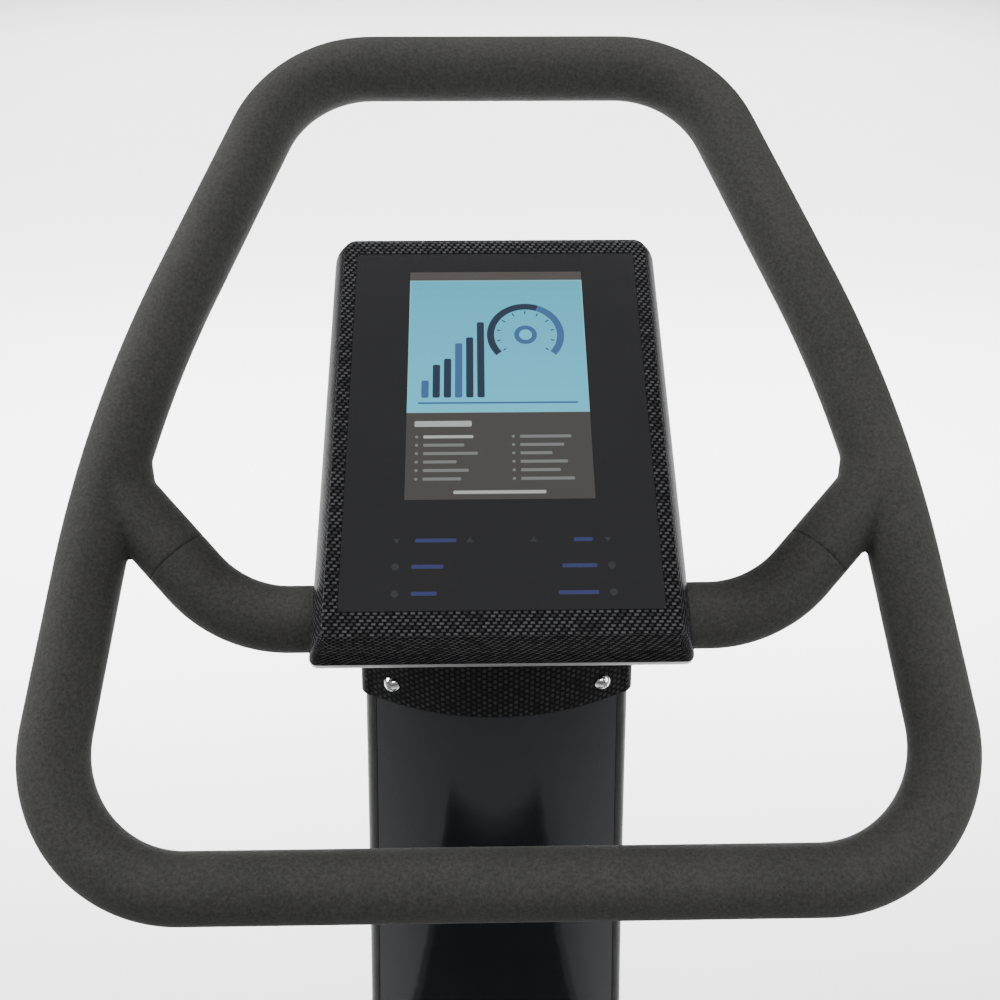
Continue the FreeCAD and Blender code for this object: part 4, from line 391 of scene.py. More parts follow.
def make_glass_material():
    """Black-backed glass: a clean hard gloss with faint wipe marks."""
    material, tree, shader = start_material("black glass", IOR=1.5)
    slow = tree.noise(tree.place(), 30.0)
    wire(tree, shader, Base_Color=tree.mix(slow, (0.010, 0.010, 0.011, 1), (0.013, 0.013, 0.014, 1)),
         Roughness=marked(tree, 0.09, 0.06))
    return material


def make_display_material():
    """Lit display seen through the glass: each mark has its own tint."""
    material, tree, shader = start_material("display", IOR=1.5, Emission_Strength=1.0)
    tint = tree.add("ShaderNodeAttribute", attribute_name="tint").outputs["Color"]
    cells = tree.math("MULTIPLY", tree.noise(tree.place(), 1600.0, 1.0), 0.12)
    wire(tree, shader, Emission_Color=tree.mix(cells, tint, (0.0, 0.0, 0.0, 1)),
         Base_Color=tree.mix(0.96, tint, (0.008, 0.008, 0.008, 1)), Roughness=marked(tree, 0.12, 0.06))
    return material


def make_panel_material():
    """Deep piano lacquer with the faintest orange peel."""
    material, tree, shader = start_material("panel lacquer", Specular_IOR_Level=0.14)
    place = tree.place()
    slow = tree.noise(place, 5.0, 3.0)
    wire(tree, shader, Base_Color=tree.mix(slow, (0.006, 0.0065, 0.008, 1), (0.010, 0.011, 0.013, 1)),
         Roughness=marked(tree, 0.08, 0.05), Normal=tree.bump(tree.noise(place, 90.0, 2.0), 0.012 * MM))
    return material


def make_mat_material():
    """Ribbed rubber standing surface, dusty and slightly worn in uneven patches."""
    material, tree, shader = start_material("mat rubber", Specular_IOR_Level=0.4)
    pebbles = group_node(tree, GRAIN, Size=1.6 * MM)
    worn = tree.range(tree.noise(tree.place(), 4.0, 4.0, 0.6), 0.45, 0.7)
    skin = tree.mix(worn, (0.019, 0.019, 0.020, 1), (0.027, 0.027, 0.028, 1))
    wire(tree, shader, Base_Color=dusted(tree, skin, 0.02), Roughness=marked(tree, 0.72, 0.2),
         Normal=tree.bump(pebbles["Height"], 0.12 * MM))
    return material


MATERIALS = {
    "grip_foam": make_foam_material(),
    "tube_steel": moulded("tube paint", grey(0.03), 0.4),
    "black_rubber": moulded("black rubber", grey(0.014), 0.7, grain=1.2 * MM),
    "carbon_weave": make_weave_material("carbon weave", 4.6 * MM, 2.3 * MM, 0.62, 0.055),
    "rim_grey": brushed("rim alloy", (0.62, 0.62, 0.61), 0.3, (2, 60, 60)),
    "dark_plastic": moulded("dark plastic", grey(0.022), 0.5),
    "black_glass": make_glass_material(),
    "board_green": moulded("board green", (0.01, 0.09, 0.03, 1), 0.45),
    "zinc_steel": brushed("zinc steel", (0.62, 0.63, 0.62), 0.32, (20, 20, 20)),
    "chrome_screw": brushed("chrome", (0.86, 0.86, 0.87), 0.05, (30, 30, 30), depth=0.002 * MM, spread=0.04),
    "frame_steel": moulded("frame powder coat", grey(0.028), 0.45, grain=0.6 * MM),
    "panel_gloss": make_panel_material(),
    "edge_black": moulded("edge strip", grey(0.007), 0.4, depth=0.02 * MM, dust=0.02,
                          Specular_IOR_Level=0.15),
    "column_silver": moulded("silver paint", grey(0.44, (1, 1.01, 1.02)), 0.32, grain=0.3 * MM,
                             depth=0.008 * MM, dust=0.05, spread=0.06, Metallic=0.75, Coat_Weight=0.5,
                             Coat_Roughness=0.12),
    "cable_black": moulded("cable sheath", grey(0.015), 0.5),
    "hook_steel": brushed("hook steel", (0.5, 0.5, 0.5), 0.22, (30, 30, 30)),
    "skirt_grey": moulded("skirt plastic", grey(0.05), 0.5, grain=1.0 * MM, depth=0.08 * MM),
    "inverter_alloy": brushed("inverter alloy", (0.5, 0.51, 0.52), 0.38, (4, 60, 60)),
    "rocker_black": moulded("rocker plastic", grey(0.012), 0.25, depth=0.01 * MM),
    "foot_black": moulded("foot rubber", grey(0.016), 0.72, grain=1.2 * MM),
    "wheel_black": moulded("wheel rubber", grey(0.016), 0.6, grain=1.0 * MM),
    "deck_silver": brushed("deck alloy", (0.66, 0.67, 0.68), 0.3, (1.5, 60, 60)),
    "mat_rubber": make_mat_material(),
    "stator_steel": brushed("stator steel", (0.32, 0.31, 0.3), 0.4, (60, 4, 4)),
    "motor_alloy": moulded("motor casting", grey(0.34), 0.45, grain=1.4 * MM, depth=0.12 * MM, Metallic=0.85),
    "weight_iron": moulded("weight iron", grey(0.16), 0.5, grain=1.0 * MM, Metallic=0.9),
}
DISPLAY = make_display_material()
# darker dashes than the console's weave: painted shade of the console over the cowl
NECK_WEAVE_IN_PAINTED_SHADE = make_weave_material("neck weave in painted shade", 5.8 * MM, 4.2 * MM, 0.5, 0.026)


def dress_cad_nodes():
    """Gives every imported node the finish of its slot."""
    for part in frame["record"]["subparts"]:
        mesh = NODES[part["node"]].data
        mesh.materials.clear()
        mesh.materials.append(MATERIALS[part["material_slot"]])


# ------------------------------------------------------------ mesh helpers
def linked(name, data):
    """New object at the origin of the scene."""
    made = bpy.data.objects.new(name, data)
    bpy.context.scene.collection.objects.link(made)
    return made


def piece(name, vertices, faces, slot, body="machine", stands_for=(), material=None, smooth=True):
    """Mesh object from points and faces, finished like its slot and riding on its body."""
    mesh = bpy.data.meshes.new(name)
    mesh.from_pydata([tuple(v) for v in vertices], [], [tuple(f) for f in faces])
    mesh.update()
    return finished(linked(name, mesh), slot, body, stands_for, material, smooth)


def finished(made, slot, body="machine", stands_for=(), material=None, smooth=True):
    made.data.materials.clear()
    made.data.materials.append(material or MATERIALS[slot])
    made.data.polygons.foreach_set("use_smooth", [smooth] * len(made.data.polygons))
    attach(made, body)
    if stands_for:
        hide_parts(*stands_for)
    return made


def grid_faces(rows, columns, around=False, looped=False):
    """Quads between rows of points; around closes each row, looped closes the stack of rows."""
    faces = []
    for i in range(rows if looped else rows - 1):
        for j in range(columns if around else columns - 1):
            k = (j + 1) % columns
            n = (i + 1) % rows
            faces.append((i * columns + j, i * columns + k, n * columns + k, n * columns + j))
    return faces


def outward(made, merge=True):
    """Turns every face outwards, and merges doubles first if asked."""
    mesh = bmesh.new()
    mesh.from_mesh(made.data)
    if merge:
        bmesh.ops.remove_doubles(mesh, verts=mesh.verts, dist=0.005 * MM)
    bmesh.ops.recalc_face_normals(mesh, faces=mesh.faces)
    mesh.to_mesh(made.data)
    mesh.free()
    return made


def sharpened(made, degrees=35):
    """Smooth shading that keeps the edges sharper than an angle."""
    mesh = bmesh.new()
    mesh.from_mesh(made.data)
    limit = math.radians(degrees)
    for edge in mesh.edges:
        edge.smooth = len(edge.link_faces) != 2 or edge.calc_face_angle(0) < limit
    mesh.to_mesh(made.data)
    mesh.free()
    return made


def rounded_path(corners, radii, step, closed=True):
    """Points along straight runs joined by arcs, about step apart."""
    count = len(corners)
    points = []
    for i in range(count):
        corner = Vector(corners[i])
        if not closed and i in (0, count - 1):
            points.append(corner)
            continue
        back = (Vector(corners[i - 1]) - corner).normalized()
        on = (Vector(corners[(i + 1) % count]) - corner).normalized()
        half = back.angle(on) / 2
        middle = (back + on).normalized()
        centre = corner + middle * (radii[i] / math.sin(half))
        turn = math.pi - 2 * half
        across = (back - back.dot(middle) * middle).normalized()
        parts = max(2, round(turn * radii[i] / step))
        for j in range(parts + 1):
            angle = turn * (0.5 - j / parts)
            inward = middle * (radii[i] * math.cos(angle))
            points.append(centre - inward + across * (radii[i] * math.sin(angle)))
    if closed:
        points.append(points[0])
    filled = [points[0]]
    for start, end in zip(points, points[1:]):
        parts = max(1, round((end - start).length / step))
        filled += [start.lerp(end, j / parts) for j in range(1, parts + 1)]
    return np.array(filled[:-1] if closed else filled)


def tube_rows(path, radius, sides, closed):
    """Rows of points round a path, turned as little as possible from one to the next."""
    after = np.roll(path, -1, 0) if closed else np.vstack([path[1:], 2 * path[-1] - path[-2]])
    before = np.roll(path, 1, 0) if closed else np.vstack([2 * path[0] - path[1], path[:-1]])
    ahead = after - before
    ahead /= np.linalg.norm(ahead, axis=1)[:, None]
    side = np.cross(ahead[0], (0.0, 0.3, 1.0))
    rows = []
    for centre, way in zip(path, ahead):
        side = side - way * side.dot(way)
        side /= np.linalg.norm(side)
        up = np.cross(way, side)
        angles = np.arange(sides) * 2 * math.pi / sides
        rows.append(centre + radius * (np.cos(angles)[:, None] * side + np.sin(angles)[:, None] * up))
    return np.array(rows)


# ------------------------------------------------------------ grip loop foam and arm sleeves
def loop_plane():
    """Lowest and highest bar of the loop, and the way up its slope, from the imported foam."""
    low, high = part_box("loop_foam")
    lower = Vector((0, low.y + FOAM_RADIUS, low.z + FOAM_RADIUS))
    upper = Vector((0, high.y - FOAM_RADIUS, high.z - FOAM_RADIUS))
    return lower, upper, (upper - lower).normalized()


def loop_path(step=4 * MM):
    lower, upper, slope = loop_plane()
    length = (upper - lower).length
    levels = [(LOOP_LOWER_HALF, 0), (LOOP_KNEE_HALF, LOOP_KNEE_AT), (LOOP_UPPER_HALF, length)]
    right = [Vector((half, 0, 0)) + lower + slope * along for half, along in levels]
    corners = right + [Vector((-p.x, p.y, p.z)) for p in reversed(right)]
    radii = [TUBE_BEND, KNEE_BEND, TUBE_BEND, TUBE_BEND, KNEE_BEND, TUBE_BEND]
    return rounded_path(corners, radii, step)


def arm_path(side, step=4 * MM):
    """Axis of one half of the arm, from the grommet out to the loop."""
    low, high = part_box("arm_grommets")
    middle = (low + high) / 2
    rise = Vector((0, math.cos(ARM_TILT), math.sin(ARM_TILT)))
    corner = Vector((side * ARM_CORNER, middle.y, middle.z))
    leg = Vector((side * math.cos(ARM_LEG_ANGLE), 0, 0)) + rise * math.sin(ARM_LEG_ANGLE)
    start = Vector((side * (high.x + GLASS_GAP), middle.y, middle.z))
    return rounded_path([start, corner, corner + leg * ARM_LEG], [0, TUBE_BEND, 0], step, closed=False)


def nearest(points, path, closed):
    """Nearest place on a path to each point, and the distance to it."""
    ends = np.roll(path, -1, 0) if closed else path[1:]
    starts = path if closed else path[:-1]
    best = np.full(len(points), 1e9)
    place = np.zeros_like(points)
    for a, b in zip(starts, ends):
        run = b - a
        t = np.clip((points - a) @ run / (run @ run), 0, 1)[:, None]
        there = a + t * run
        gap = np.linalg.norm(points - there, axis=1)
        closer = gap < best
        best[closer] = gap[closer]
        place[closer] = there[closer]
    return place, best


def settle_on_foam(points, loop, arms):
    """Moves points onto the skin of the loop's foam where it runs into its two short arm stubs.

    The skin is soft in the upper crotch and tight in the lower one, and each stub ends in a flat face.
    The lower crotch tightens step by step, and only the points round a junction take the later steps."""
    up_slope = np.array(loop_plane()[2])
    for step, sharp in enumerate(CROTCH_STEPS):
        if step < 2:
            chosen = np.arange(len(points))
        elif step == 2:
            gaps = np.min([np.linalg.norm(points - arm[-1], axis=1) for arm in arms], axis=0)
            chosen = np.flatnonzero(gaps < JUNCTION_REACH * STUB_LENGTH)
        here = points[chosen]
        loop_at, loop_gap = nearest(here, loop, True)
        field = loop_gap - FOAM_RADIUS
        slope = (here - loop_at) / loop_gap[:, None]
        for arm in arms:
            way = arm[-1] - arm[-2]
            way = way / np.linalg.norm(way)
            stub = np.array([arm[-1] - way * (STUB_REACH * STUB_LENGTH), arm[-1] - way * (FOAM_RADIUS / 2)])
            arm_at, arm_gap = nearest(here, stub, False)
            arm_field = arm_gap - FOAM_RADIUS
            arm_slope = (here - arm_at) / np.maximum(arm_gap, 1e-6)[:, None]
            back = (arm[-1] - here) @ way
            arm_field, arm_slope = blended(arm_field, arm_slope, back - STUB_LENGTH, -way, SEAM_ROUND, -1)
            above = np.clip(((here - arm[-1]) @ up_slope + CROTCH_BELOW) / CROTCH_RISE, 0, 1)
            inside = np.clip((back - CROTCH_INSET) / CROTCH_FADE, 0, 1)
            soft = sharp + (CROTCH_SOFT - sharp) * above * inside
            field, slope = blended(field, slope, arm_field, arm_slope, soft, 1)
        steepness = np.maximum((slope ** 2).sum(1), LEAST_SLOPE)
        points[chosen] = here - slope * (field / steepness)[:, None]
    return points


def blended(field, slope, other, other_slope, width, sign):
    """Smooth union (sign 1) or smooth cut (sign -1) of two distance fields."""
    share = np.clip(0.5 + 0.5 * sign * (other - field) / width, 0, 1)
    joined = share * field + (1 - share) * other - sign * width * share * (1 - share)
    return joined, share[:, None] * slope + (1 - share)[:, None] * other_slope


def tube_mesh(mesh, path, radius, sides, closed):
    """Adds a tube with flat ends to a bmesh."""
    rows = tube_rows(path, radius, sides, closed)
    made = [[mesh.verts.new(p) for p in row] for row in rows]
    for face in grid_faces(len(rows), sides, True, closed):
        mesh.faces.new([made[i // sides][i % sides] for i in face])
    if not closed:
        mesh.faces.new(list(reversed(made[0])))
        mesh.faces.new(made[-1])


def make_grip_foam():
    """Foam of the loop with its two stubs: tubes fused by a remesh, then settled on a smooth skin."""
    loop = loop_path()
    arms = [arm_path(side) for side in (-1, 1)]
    mesh = bmesh.new()
    tube_mesh(mesh, loop, FOAM_RADIUS, 28, True)
    for arm in arms:
        way = Vector(arm[-1] - arm[-2]).normalized()
        stub = np.array([Vector(arm[-1]) - way * (STUB_LENGTH * share) for share in np.linspace(1, 0, 18)])
        tube_mesh(mesh, stub, FOAM_RADIUS, 28, False)
    bmesh.ops.recalc_face_normals(mesh, faces=mesh.faces)
    data = bpy.data.meshes.new("grip_foam")
    mesh.to_mesh(data)
    mesh.free()
    made = linked("grip_foam", data)
    remesh = made.modifiers.new("fuse", "REMESH")
    remesh.mode = "VOXEL"
    remesh.voxel_size = FOAM_VOXEL
    apply_modifiers(made)
    points = np.array([v.co for v in made.data.vertices])
    points = settle_on_foam(points, loop, arms)
    made.data.vertices.foreach_set("co", points.astype(np.float32).ravel())
    made.data.update()
    outward(made)
    finished(made, "grip_foam", stands_for=["loop_foam"])


def apply_modifiers(made):
    """Turns the evaluated object into a plain mesh."""
    graph = bpy.context.evaluated_depsgraph_get()
    data = bpy.data.meshes.new_from_object(made.evaluated_get(graph))
    made.modifiers.clear()
    old = made.data
    made.data = data
    bpy.data.meshes.remove(old)
    data.name = made.name


def make_arm_sleeve(side, name):
    """Foam sleeve on one half of the arm, both ends slightly rounded."""
    path = arm_path(side, 3 * MM)
    lengths = np.concatenate([[0], np.cumsum(np.linalg.norm(np.diff(path, axis=0), axis=1))])
    end = lengths[-1] - STUB_LENGTH - SEAM_GAP
    at = np.linspace(0, end, 60)
    centres = np.stack([np.interp(at, lengths, path[:, k]) for k in range(3)], 1)
    sides = 48
    ways = tube_rows(centres, 1.0, sides, False) - centres[:, None, :]
    last = len(centres) - 1
    bore = FOAM_RADIUS - FOAM_WALL

    def ring_at(index, radius, shift=0.0):
        ahead = centres[min(index + 1, last)] - centres[max(index - 1, 0)]
        return centres[index] + ahead * (shift / np.linalg.norm(ahead)) + ways[index] * radius

    rounding = [(FOAM_RADIUS - SEAM_ROUND * (1 - math.sin(a)), SEAM_ROUND * (1 - math.cos(a)))
                for a in (0, math.pi / 6, math.pi / 3, math.pi / 2)]
    stack = [ring_at(0, bore)]
    stack += [ring_at(0, radius, shift) for radius, shift in rounding]
    stack += [ring_at(i, FOAM_RADIUS) for i in range(1, last)]
    stack += [ring_at(last, radius, -shift) for radius, shift in reversed(rounding)]
    stack += [ring_at(i, bore) for i in range(last, 0, -1)]
    vertices = np.concatenate(stack)
    faces = grid_faces(len(stack), sides, True, True)
    made = piece(name, vertices, faces, "grip_foam", stands_for=[name.replace("sleeve", "foam")])
    outward(made)


# ------------------------------------------------------------ console
def console_frame():
    """Middle of the face's near edge and the ways up the slope and out of the face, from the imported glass."""
    low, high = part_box("console_glass")
    slope = Vector((0, math.cos(CONSOLE_TILT), math.sin(CONSOLE_TILT)))
    normal = Vector((0, -math.sin(CONSOLE_TILT), math.cos(CONSOLE_TILT)))
    near_glass = Vector((0, low.y, high.z - GLASS_LENGTH * math.sin(CONSOLE_TILT)))
    return near_glass - slope * GLASS_MARGIN, slope, normal


ORIGIN, UP_SLOPE, OUT = console_frame()


def on_face(x, along, height=0.0):
    return ORIGIN + Vector((x, 0, 0)) + UP_SLOPE * along + OUT * height


def rounded_outline(half, near, far, corner, near_corner=None, arc_steps=10, side_steps=24):
    """Rounded rectangle from its near right corner anticlockwise: points and outward ways."""
    small = near_corner or corner
    centres = [(half - small, near + small, -90, small), (half - corner, far - corner, 0, corner),
               (-half + corner, far - corner, 90, corner), (-half + small, near + small, 180, small)]
    points = []
    ways = []
    for k, (x, y, start, radius) in enumerate(centres):
        for step in range(arc_steps + 1):
            angle = math.radians(start + 90 * step / arc_steps)
            ways.append((math.cos(angle), math.sin(angle)))
            points.append((x + radius * ways[-1][0], y + radius * ways[-1][1]))
        nx, ny, next_start, next_radius = centres[(k + 1) % 4]
        angle = math.radians(next_start)
        target = (nx + next_radius * math.cos(angle), ny + next_radius * math.sin(angle))
        for step in range(1, side_steps):
            t = step / side_steps
            ways.append(ways[-1])
            points.append(points_at(points, step, side_steps, target))
    return points, ways


def points_at(points, step, steps, target):
    """Next point on the way to a target that steps more steps reach."""
    x, y = points[-1]
    left = steps - step + 1
    return (x + (target[0] - x) / left, y + (target[1] - y) / left)


def ringed_piece(name, rings, slot, stands_for, degrees, closed=True, uvs=None):
    """Band through outlines of equal count, each a list of (x, along, height).

    It closes on itself, or has a flat face at each end when closed is False."""
    count = len(rings[0])
    vertices = [on_face(*p) for ring in rings for p in ring]
    faces = grid_faces(len(rings), count, True, closed)
    if not closed:
        faces.append(tuple(range(count)))
        faces.append(tuple(reversed(range((len(rings) - 1) * count, len(rings) * count))))
    made = piece(name, vertices, faces, slot, stands_for=stands_for)
    if uvs is not None:
        layer = made.data.uv_layers.new(name="weave")
        for loop in made.data.loops:
            layer.data[loop.index].uv = uvs[loop.vertex_index]
    return sharpened(outward(made, merge=False), degrees)


def console_outline(grow):
    """Outline of the console grown past its face; the near corners stay tight and the far ones open out."""
    near = NEAR_TUCK - NEAR_GROW * grow
    corner = FACE_CORNER + CORNER_GROW * grow
    return rounded_outline(FACE_HALF + grow, near, FACE_LENGTH + grow, corner, NEAR_CORNER)[0]


def glass_outline(grow, corner=GLASS_CORNER):
    """Outline of the glass grown by a margin, with its outward ways."""
    far = GLASS_MARGIN + GLASS_LENGTH + grow
    return rounded_outline(GLASS_HALF + grow, GLASS_MARGIN - grow, far, corner)


def make_bezel():
    """Moulded surround: flat face, tight roll at its edge, walls that flare to the rim, and weave over all."""
    outer, ways = rounded_outline(FACE_HALF, NEAR_TUCK, FACE_LENGTH, FACE_CORNER, NEAR_CORNER)
    inner = glass_outline(GLASS_GAP)[0]
    ledge = glass_outline(-GLASS_LEDGE, LEDGE_CORNER)[0]
    rings = []
    uvs = []

    def add(outline, height, travel=0.0, laid=None):
        rings.append([(x, y, height) for x, y in outline])
        uvs.extend((x + w[0] * travel, y + w[1] * travel) for (x, y), w in zip(laid or outline, ways))

    add(ledge, -FACE_WALL)
    add(ledge, -GLASS_THICKNESS)
    add(inner, -GLASS_THICKNESS)
    add(inner, -LIP_DEPTH)
    add(glass_outline(GLASS_GAP + LIP_CHAMFER)[0], 0.0)
    for share in (0.35, 0.7):
        middle = [(a[0] + (b[0] - a[0]) * share, a[1] + (b[1] - a[1]) * share) for a, b in zip(inner, outer)]
        add(middle, 0.0)
    profile = [(EDGE_ROUND * math.sin(a), EDGE_ROUND * (1 - math.cos(a))) for a in np.linspace(0, 1.4, 7)]
    profile += [(EDGE_ROUND - GROOVE_IN, EDGE_ROUND + depth) for depth in (GROOVE_TOP, GROOVE_LOW)]
    wall_top = EDGE_ROUND + WALL_START
    start, end = WALL_ROLL
    for a in np.linspace(start, end, 22):
        out = (math.sin(a) - math.sin(start)) / (math.sin(end) - math.sin(start))
        down = (math.cos(start) - math.cos(a)) / (math.cos(start) - math.cos(end))
        depth = wall_top + (BEZEL_DEPTH - wall_top) * down
        profile.append((EDGE_ROUND + (BEZEL_FLARE - EDGE_ROUND) * out, depth))
    travel = 0.0
    last = (0.0, 0.0)
    for grow, depth in profile:
        travel += math.hypot(grow - last[0], depth - last[1]) * (WALL_SQUEEZE if depth > wall_top else 1)
        last = (grow, depth)
        add(console_outline(grow), -depth, travel, outer)
    add(console_outline(BEZEL_FLARE - BEZEL_WALL), -BEZEL_DEPTH, travel, outer)
    add(console_outline(-BEZEL_WALL), -FACE_WALL, travel, outer)
    return ringed_piece("bezel", rings, "carbon_weave", ["console_bezel"], 40, uvs=uvs)


def make_rim():
    """Light rim under the bezel, rounded over at its top edge."""
    edge = BEZEL_FLARE
    top = -BEZEL_DEPTH
    low = top - RIM_DEPTH
    profile = [(edge - RIM_WIDTH, top), (edge - RIM_ROUND, top)]
    profile += [(edge - RIM_ROUND * (1 - math.sin(a)), top - RIM_ROUND * (1 - math.cos(a)))
                for a in (0.4, 0.8, 1.2, 1.57)]
    profile += [(edge, low + RIM_UNDERCUT), (edge - RIM_UNDERCUT, low), (edge - RIM_WIDTH, low)]
    rings = [[(x, y, height) for x, y in console_outline(grow)] for grow, height in profile]
    return ringed_piece("rim", rings, "rim_grey", ["console_rim"], 30)


def make_tub():
    """Tub under the console, its near wall drawn back with the near edge."""
    made = copy_of("console_back", "tub")
    nearest_wall = min((v.co - ORIGIN).dot(UP_SLOPE) for v in made.data.vertices)
    for vertex in made.data.vertices:
        along = (vertex.co - ORIGIN).dot(UP_SLOPE)
        if along < nearest_wall + TUB_NEAR:
            vertex.co += UP_SLOPE * TUB_TUCK
    finished(made, "dark_plastic", stands_for=["console_back"])
    return sharpened(made, 30)


def make_glass():
    """Flush glass with a fine chamfer."""
    outline, ways = glass_outline(0)
    profile = [(-GLASS_CHAMFER, 0.0), (0.0, -GLASS_CHAMFER), (0.0, -GLASS_THICKNESS)]
    rings = [[(x + w[0] * grow, y + w[1] * grow, height) for (x, y), w in zip(outline, ways)]
             for grow, height in profile]
    return ringed_piece("glass", rings, "black_glass", ["console_glass"], 20, closed=False)


# ------------------------------------------------------------ display and key marks
def on_circle(x, along, radius, angle):
    return (x + radius * math.cos(angle), along + radius * math.sin(angle))


class Marks:
    """Flat printed or lit marks on the glass: thin closed prisms, each with a tint."""

    def __init__(self):
        self.vertices = []
        self.faces = []
        self.tints = []

    def add(self, outline, tint, level):
        """Outline of (x, along) points, anticlockwise; level stacks marks above one another."""
        start = len(self.vertices)
        count = len(outline)
        for height in (-MARK_STEP, MARK_STEP * (1 + level)):
            self.vertices += [on_face(x, along, height) for x, along in outline]
        self.faces.append([start + count + i for i in range(count)])
        self.faces.append([start + i for i in reversed(range(count))])
        for i in range(count):
            j = (i + 1) % count
            self.faces.append([start + i, start + j, start + count + j, start + count + i])
        self.tints += [tint] * (count + 2)

    def bar(self, x, along, width, height, tint, level=1, corner=0.0):
        right = x + width
        top = along + height
        if corner <= 0:
            self.add([(x, along), (right, along), (right, top), (x, top)], tint, level)
            return
        outline = []
        corners = ((right - corner, along + corner, -90), (right - corner, top - corner, 0),
                   (x + corner, top - corner, 90), (x + corner, along + corner, 180))
        for cx, cy, start in corners:
            for turn in (0, 22.5, 45, 67.5, 90):
                outline.append(on_circle(cx, cy, corner, math.radians(start + turn)))
        self.add(outline, tint, level)

    def disc(self, x, along, radius, tint, level=1, sides=24):
        turns = [2 * math.pi * i / sides for i in range(sides)]
        self.add([on_circle(x, along, radius, a) for a in turns], tint, level)

    def triangle(self, x, along, size, tint, up=True):
        sign = 1 if up else -1
        base = along - sign * size * 0.6
        points = [(x - size, base), (x + size, base), (x, along + sign * size)]
        self.add(points if up else points[::-1], tint, 1)

    def arc(self, x, along, radius, width, start, end, tint, level=1, steps=28):
        turns = [math.radians(start + (end - start) * i / steps) for i in range(steps + 1)]
        outer = [on_circle(x, along, radius, a) for a in turns]
        inner = [on_circle(x, along, radius - width, a) for a in turns]
        for i in range(steps):
            self.add([inner[i], outer[i], outer[i + 1], inner[i + 1]], tint, level)

    def build(self, name):
        made = piece(name, self.vertices, self.faces, "black_glass", material=DISPLAY, smooth=False)
        layer = made.data.attributes.new("tint", "FLOAT_COLOR", "CORNER")
        colours = []
        for polygon, tint in zip(made.data.polygons, self.tints):
            colours += (list(tint) + [1.0]) * polygon.loop_total
        layer.data.foreach_set("color", colours)
        return made


SKY = (0.085, 0.54, 0.76)
SKY_PALE = (0.11, 0.68, 0.95)
STEEL_BLUE = (0.045, 0.145, 0.34)
INK = (0.012, 0.030, 0.065)
SCREEN_DARK = (0.062, 0.058, 0.056)
SCREEN_BAND = (0.074, 0.064, 0.056)
SCREEN_EDGE = (0.22, 0.62, 0.72)
LIST_DIM = (0.20, 0.21, 0.21)
LIST_BRIGHT = (0.48, 0.50, 0.50)
KEY_WORD = (0.030, 0.038, 0.15)
KEY_MARK = (0.026, 0.028, 0.032)


FIELD_FROM = LCD_FROM + LCD_LENGTH * 0.355     # near edge of the lit field
TOP_BAND = 7.6 * MM
EDGE_LINE = 0.9 * MM
FIELD_STEPS = 12
DIAL = (20 * MM, FIELD_FROM + 64 * MM)
DIAL_RADIUS = 27 * MM
DIAL_WIDTH = 5 * MM
DIAL_FROM = -40
TICK_TURN = 26
TICK_FROM = 18 * MM
TICK_TO = 20.5 * MM
TICK_HALF = 0.4 * MM
LIST_LEFT = -56 * MM
LIST_RIGHT = 8 * MM
LIST_LENGTHS = (33, 27, 36, 22, 30, 25, 34, 29, 21, 31, 26, 35)
LIST_ROWS = 6


def add_field(marks):
    """Dark screen with a band and thin bright lines, and the lit field in steps from pale to deeper blue."""
    far = LCD_FROM + LCD_LENGTH
    top = far - TOP_BAND
    left = -LCD_HALF
    width = 2 * LCD_HALF
    marks.bar(left, LCD_FROM, width, LCD_LENGTH, SCREEN_DARK, 1)
    marks.bar(left, top, width, TOP_BAND, SCREEN_BAND, 2)
    for along in (top - EDGE_LINE, FIELD_FROM):
        marks.bar(left, along, width, EDGE_LINE, SCREEN_EDGE, 3)
    for x in (left, LCD_HALF - EDGE_LINE):
        marks.bar(x, FIELD_FROM, EDGE_LINE, top - EDGE_LINE - FIELD_FROM, SCREEN_EDGE, 3)
    height = (top - FIELD_FROM) / FIELD_STEPS
    for i in range(FIELD_STEPS):
        share = i / (FIELD_STEPS - 1)
        tint = tuple(a + (b - a) * share for a, b in zip(SKY_PALE, SKY))
        marks.bar(left, FIELD_FROM + i * height, width, height, tint, 2)


def add_dial(marks):
    marks.arc(*DIAL, DIAL_RADIUS, DIAL_WIDTH, DIAL_FROM, 220, STEEL_BLUE, 3, 40)
    marks.arc(*DIAL, DIAL_RADIUS, DIAL_WIDTH, 70, 220, INK, 4, 24)
    for i in range(11):
        angle = math.radians(DIAL_FROM + TICK_TURN * i)
        start = on_circle(*DIAL, TICK_FROM, angle)
        end = on_circle(*DIAL, TICK_TO, angle)
        across = (-math.sin(angle) * TICK_HALF, math.cos(angle) * TICK_HALF)
        corners = ((start, -1), (end, -1), (end, 1), (start, 1))
        marks.add([(x + side * across[0], y + side * across[1]) for (x, y), side in corners], INK, 3)
    marks.disc(*DIAL, 8 * MM, STEEL_BLUE, 3)
    marks.disc(*DIAL, 4.5 * MM, SKY_PALE, 4)


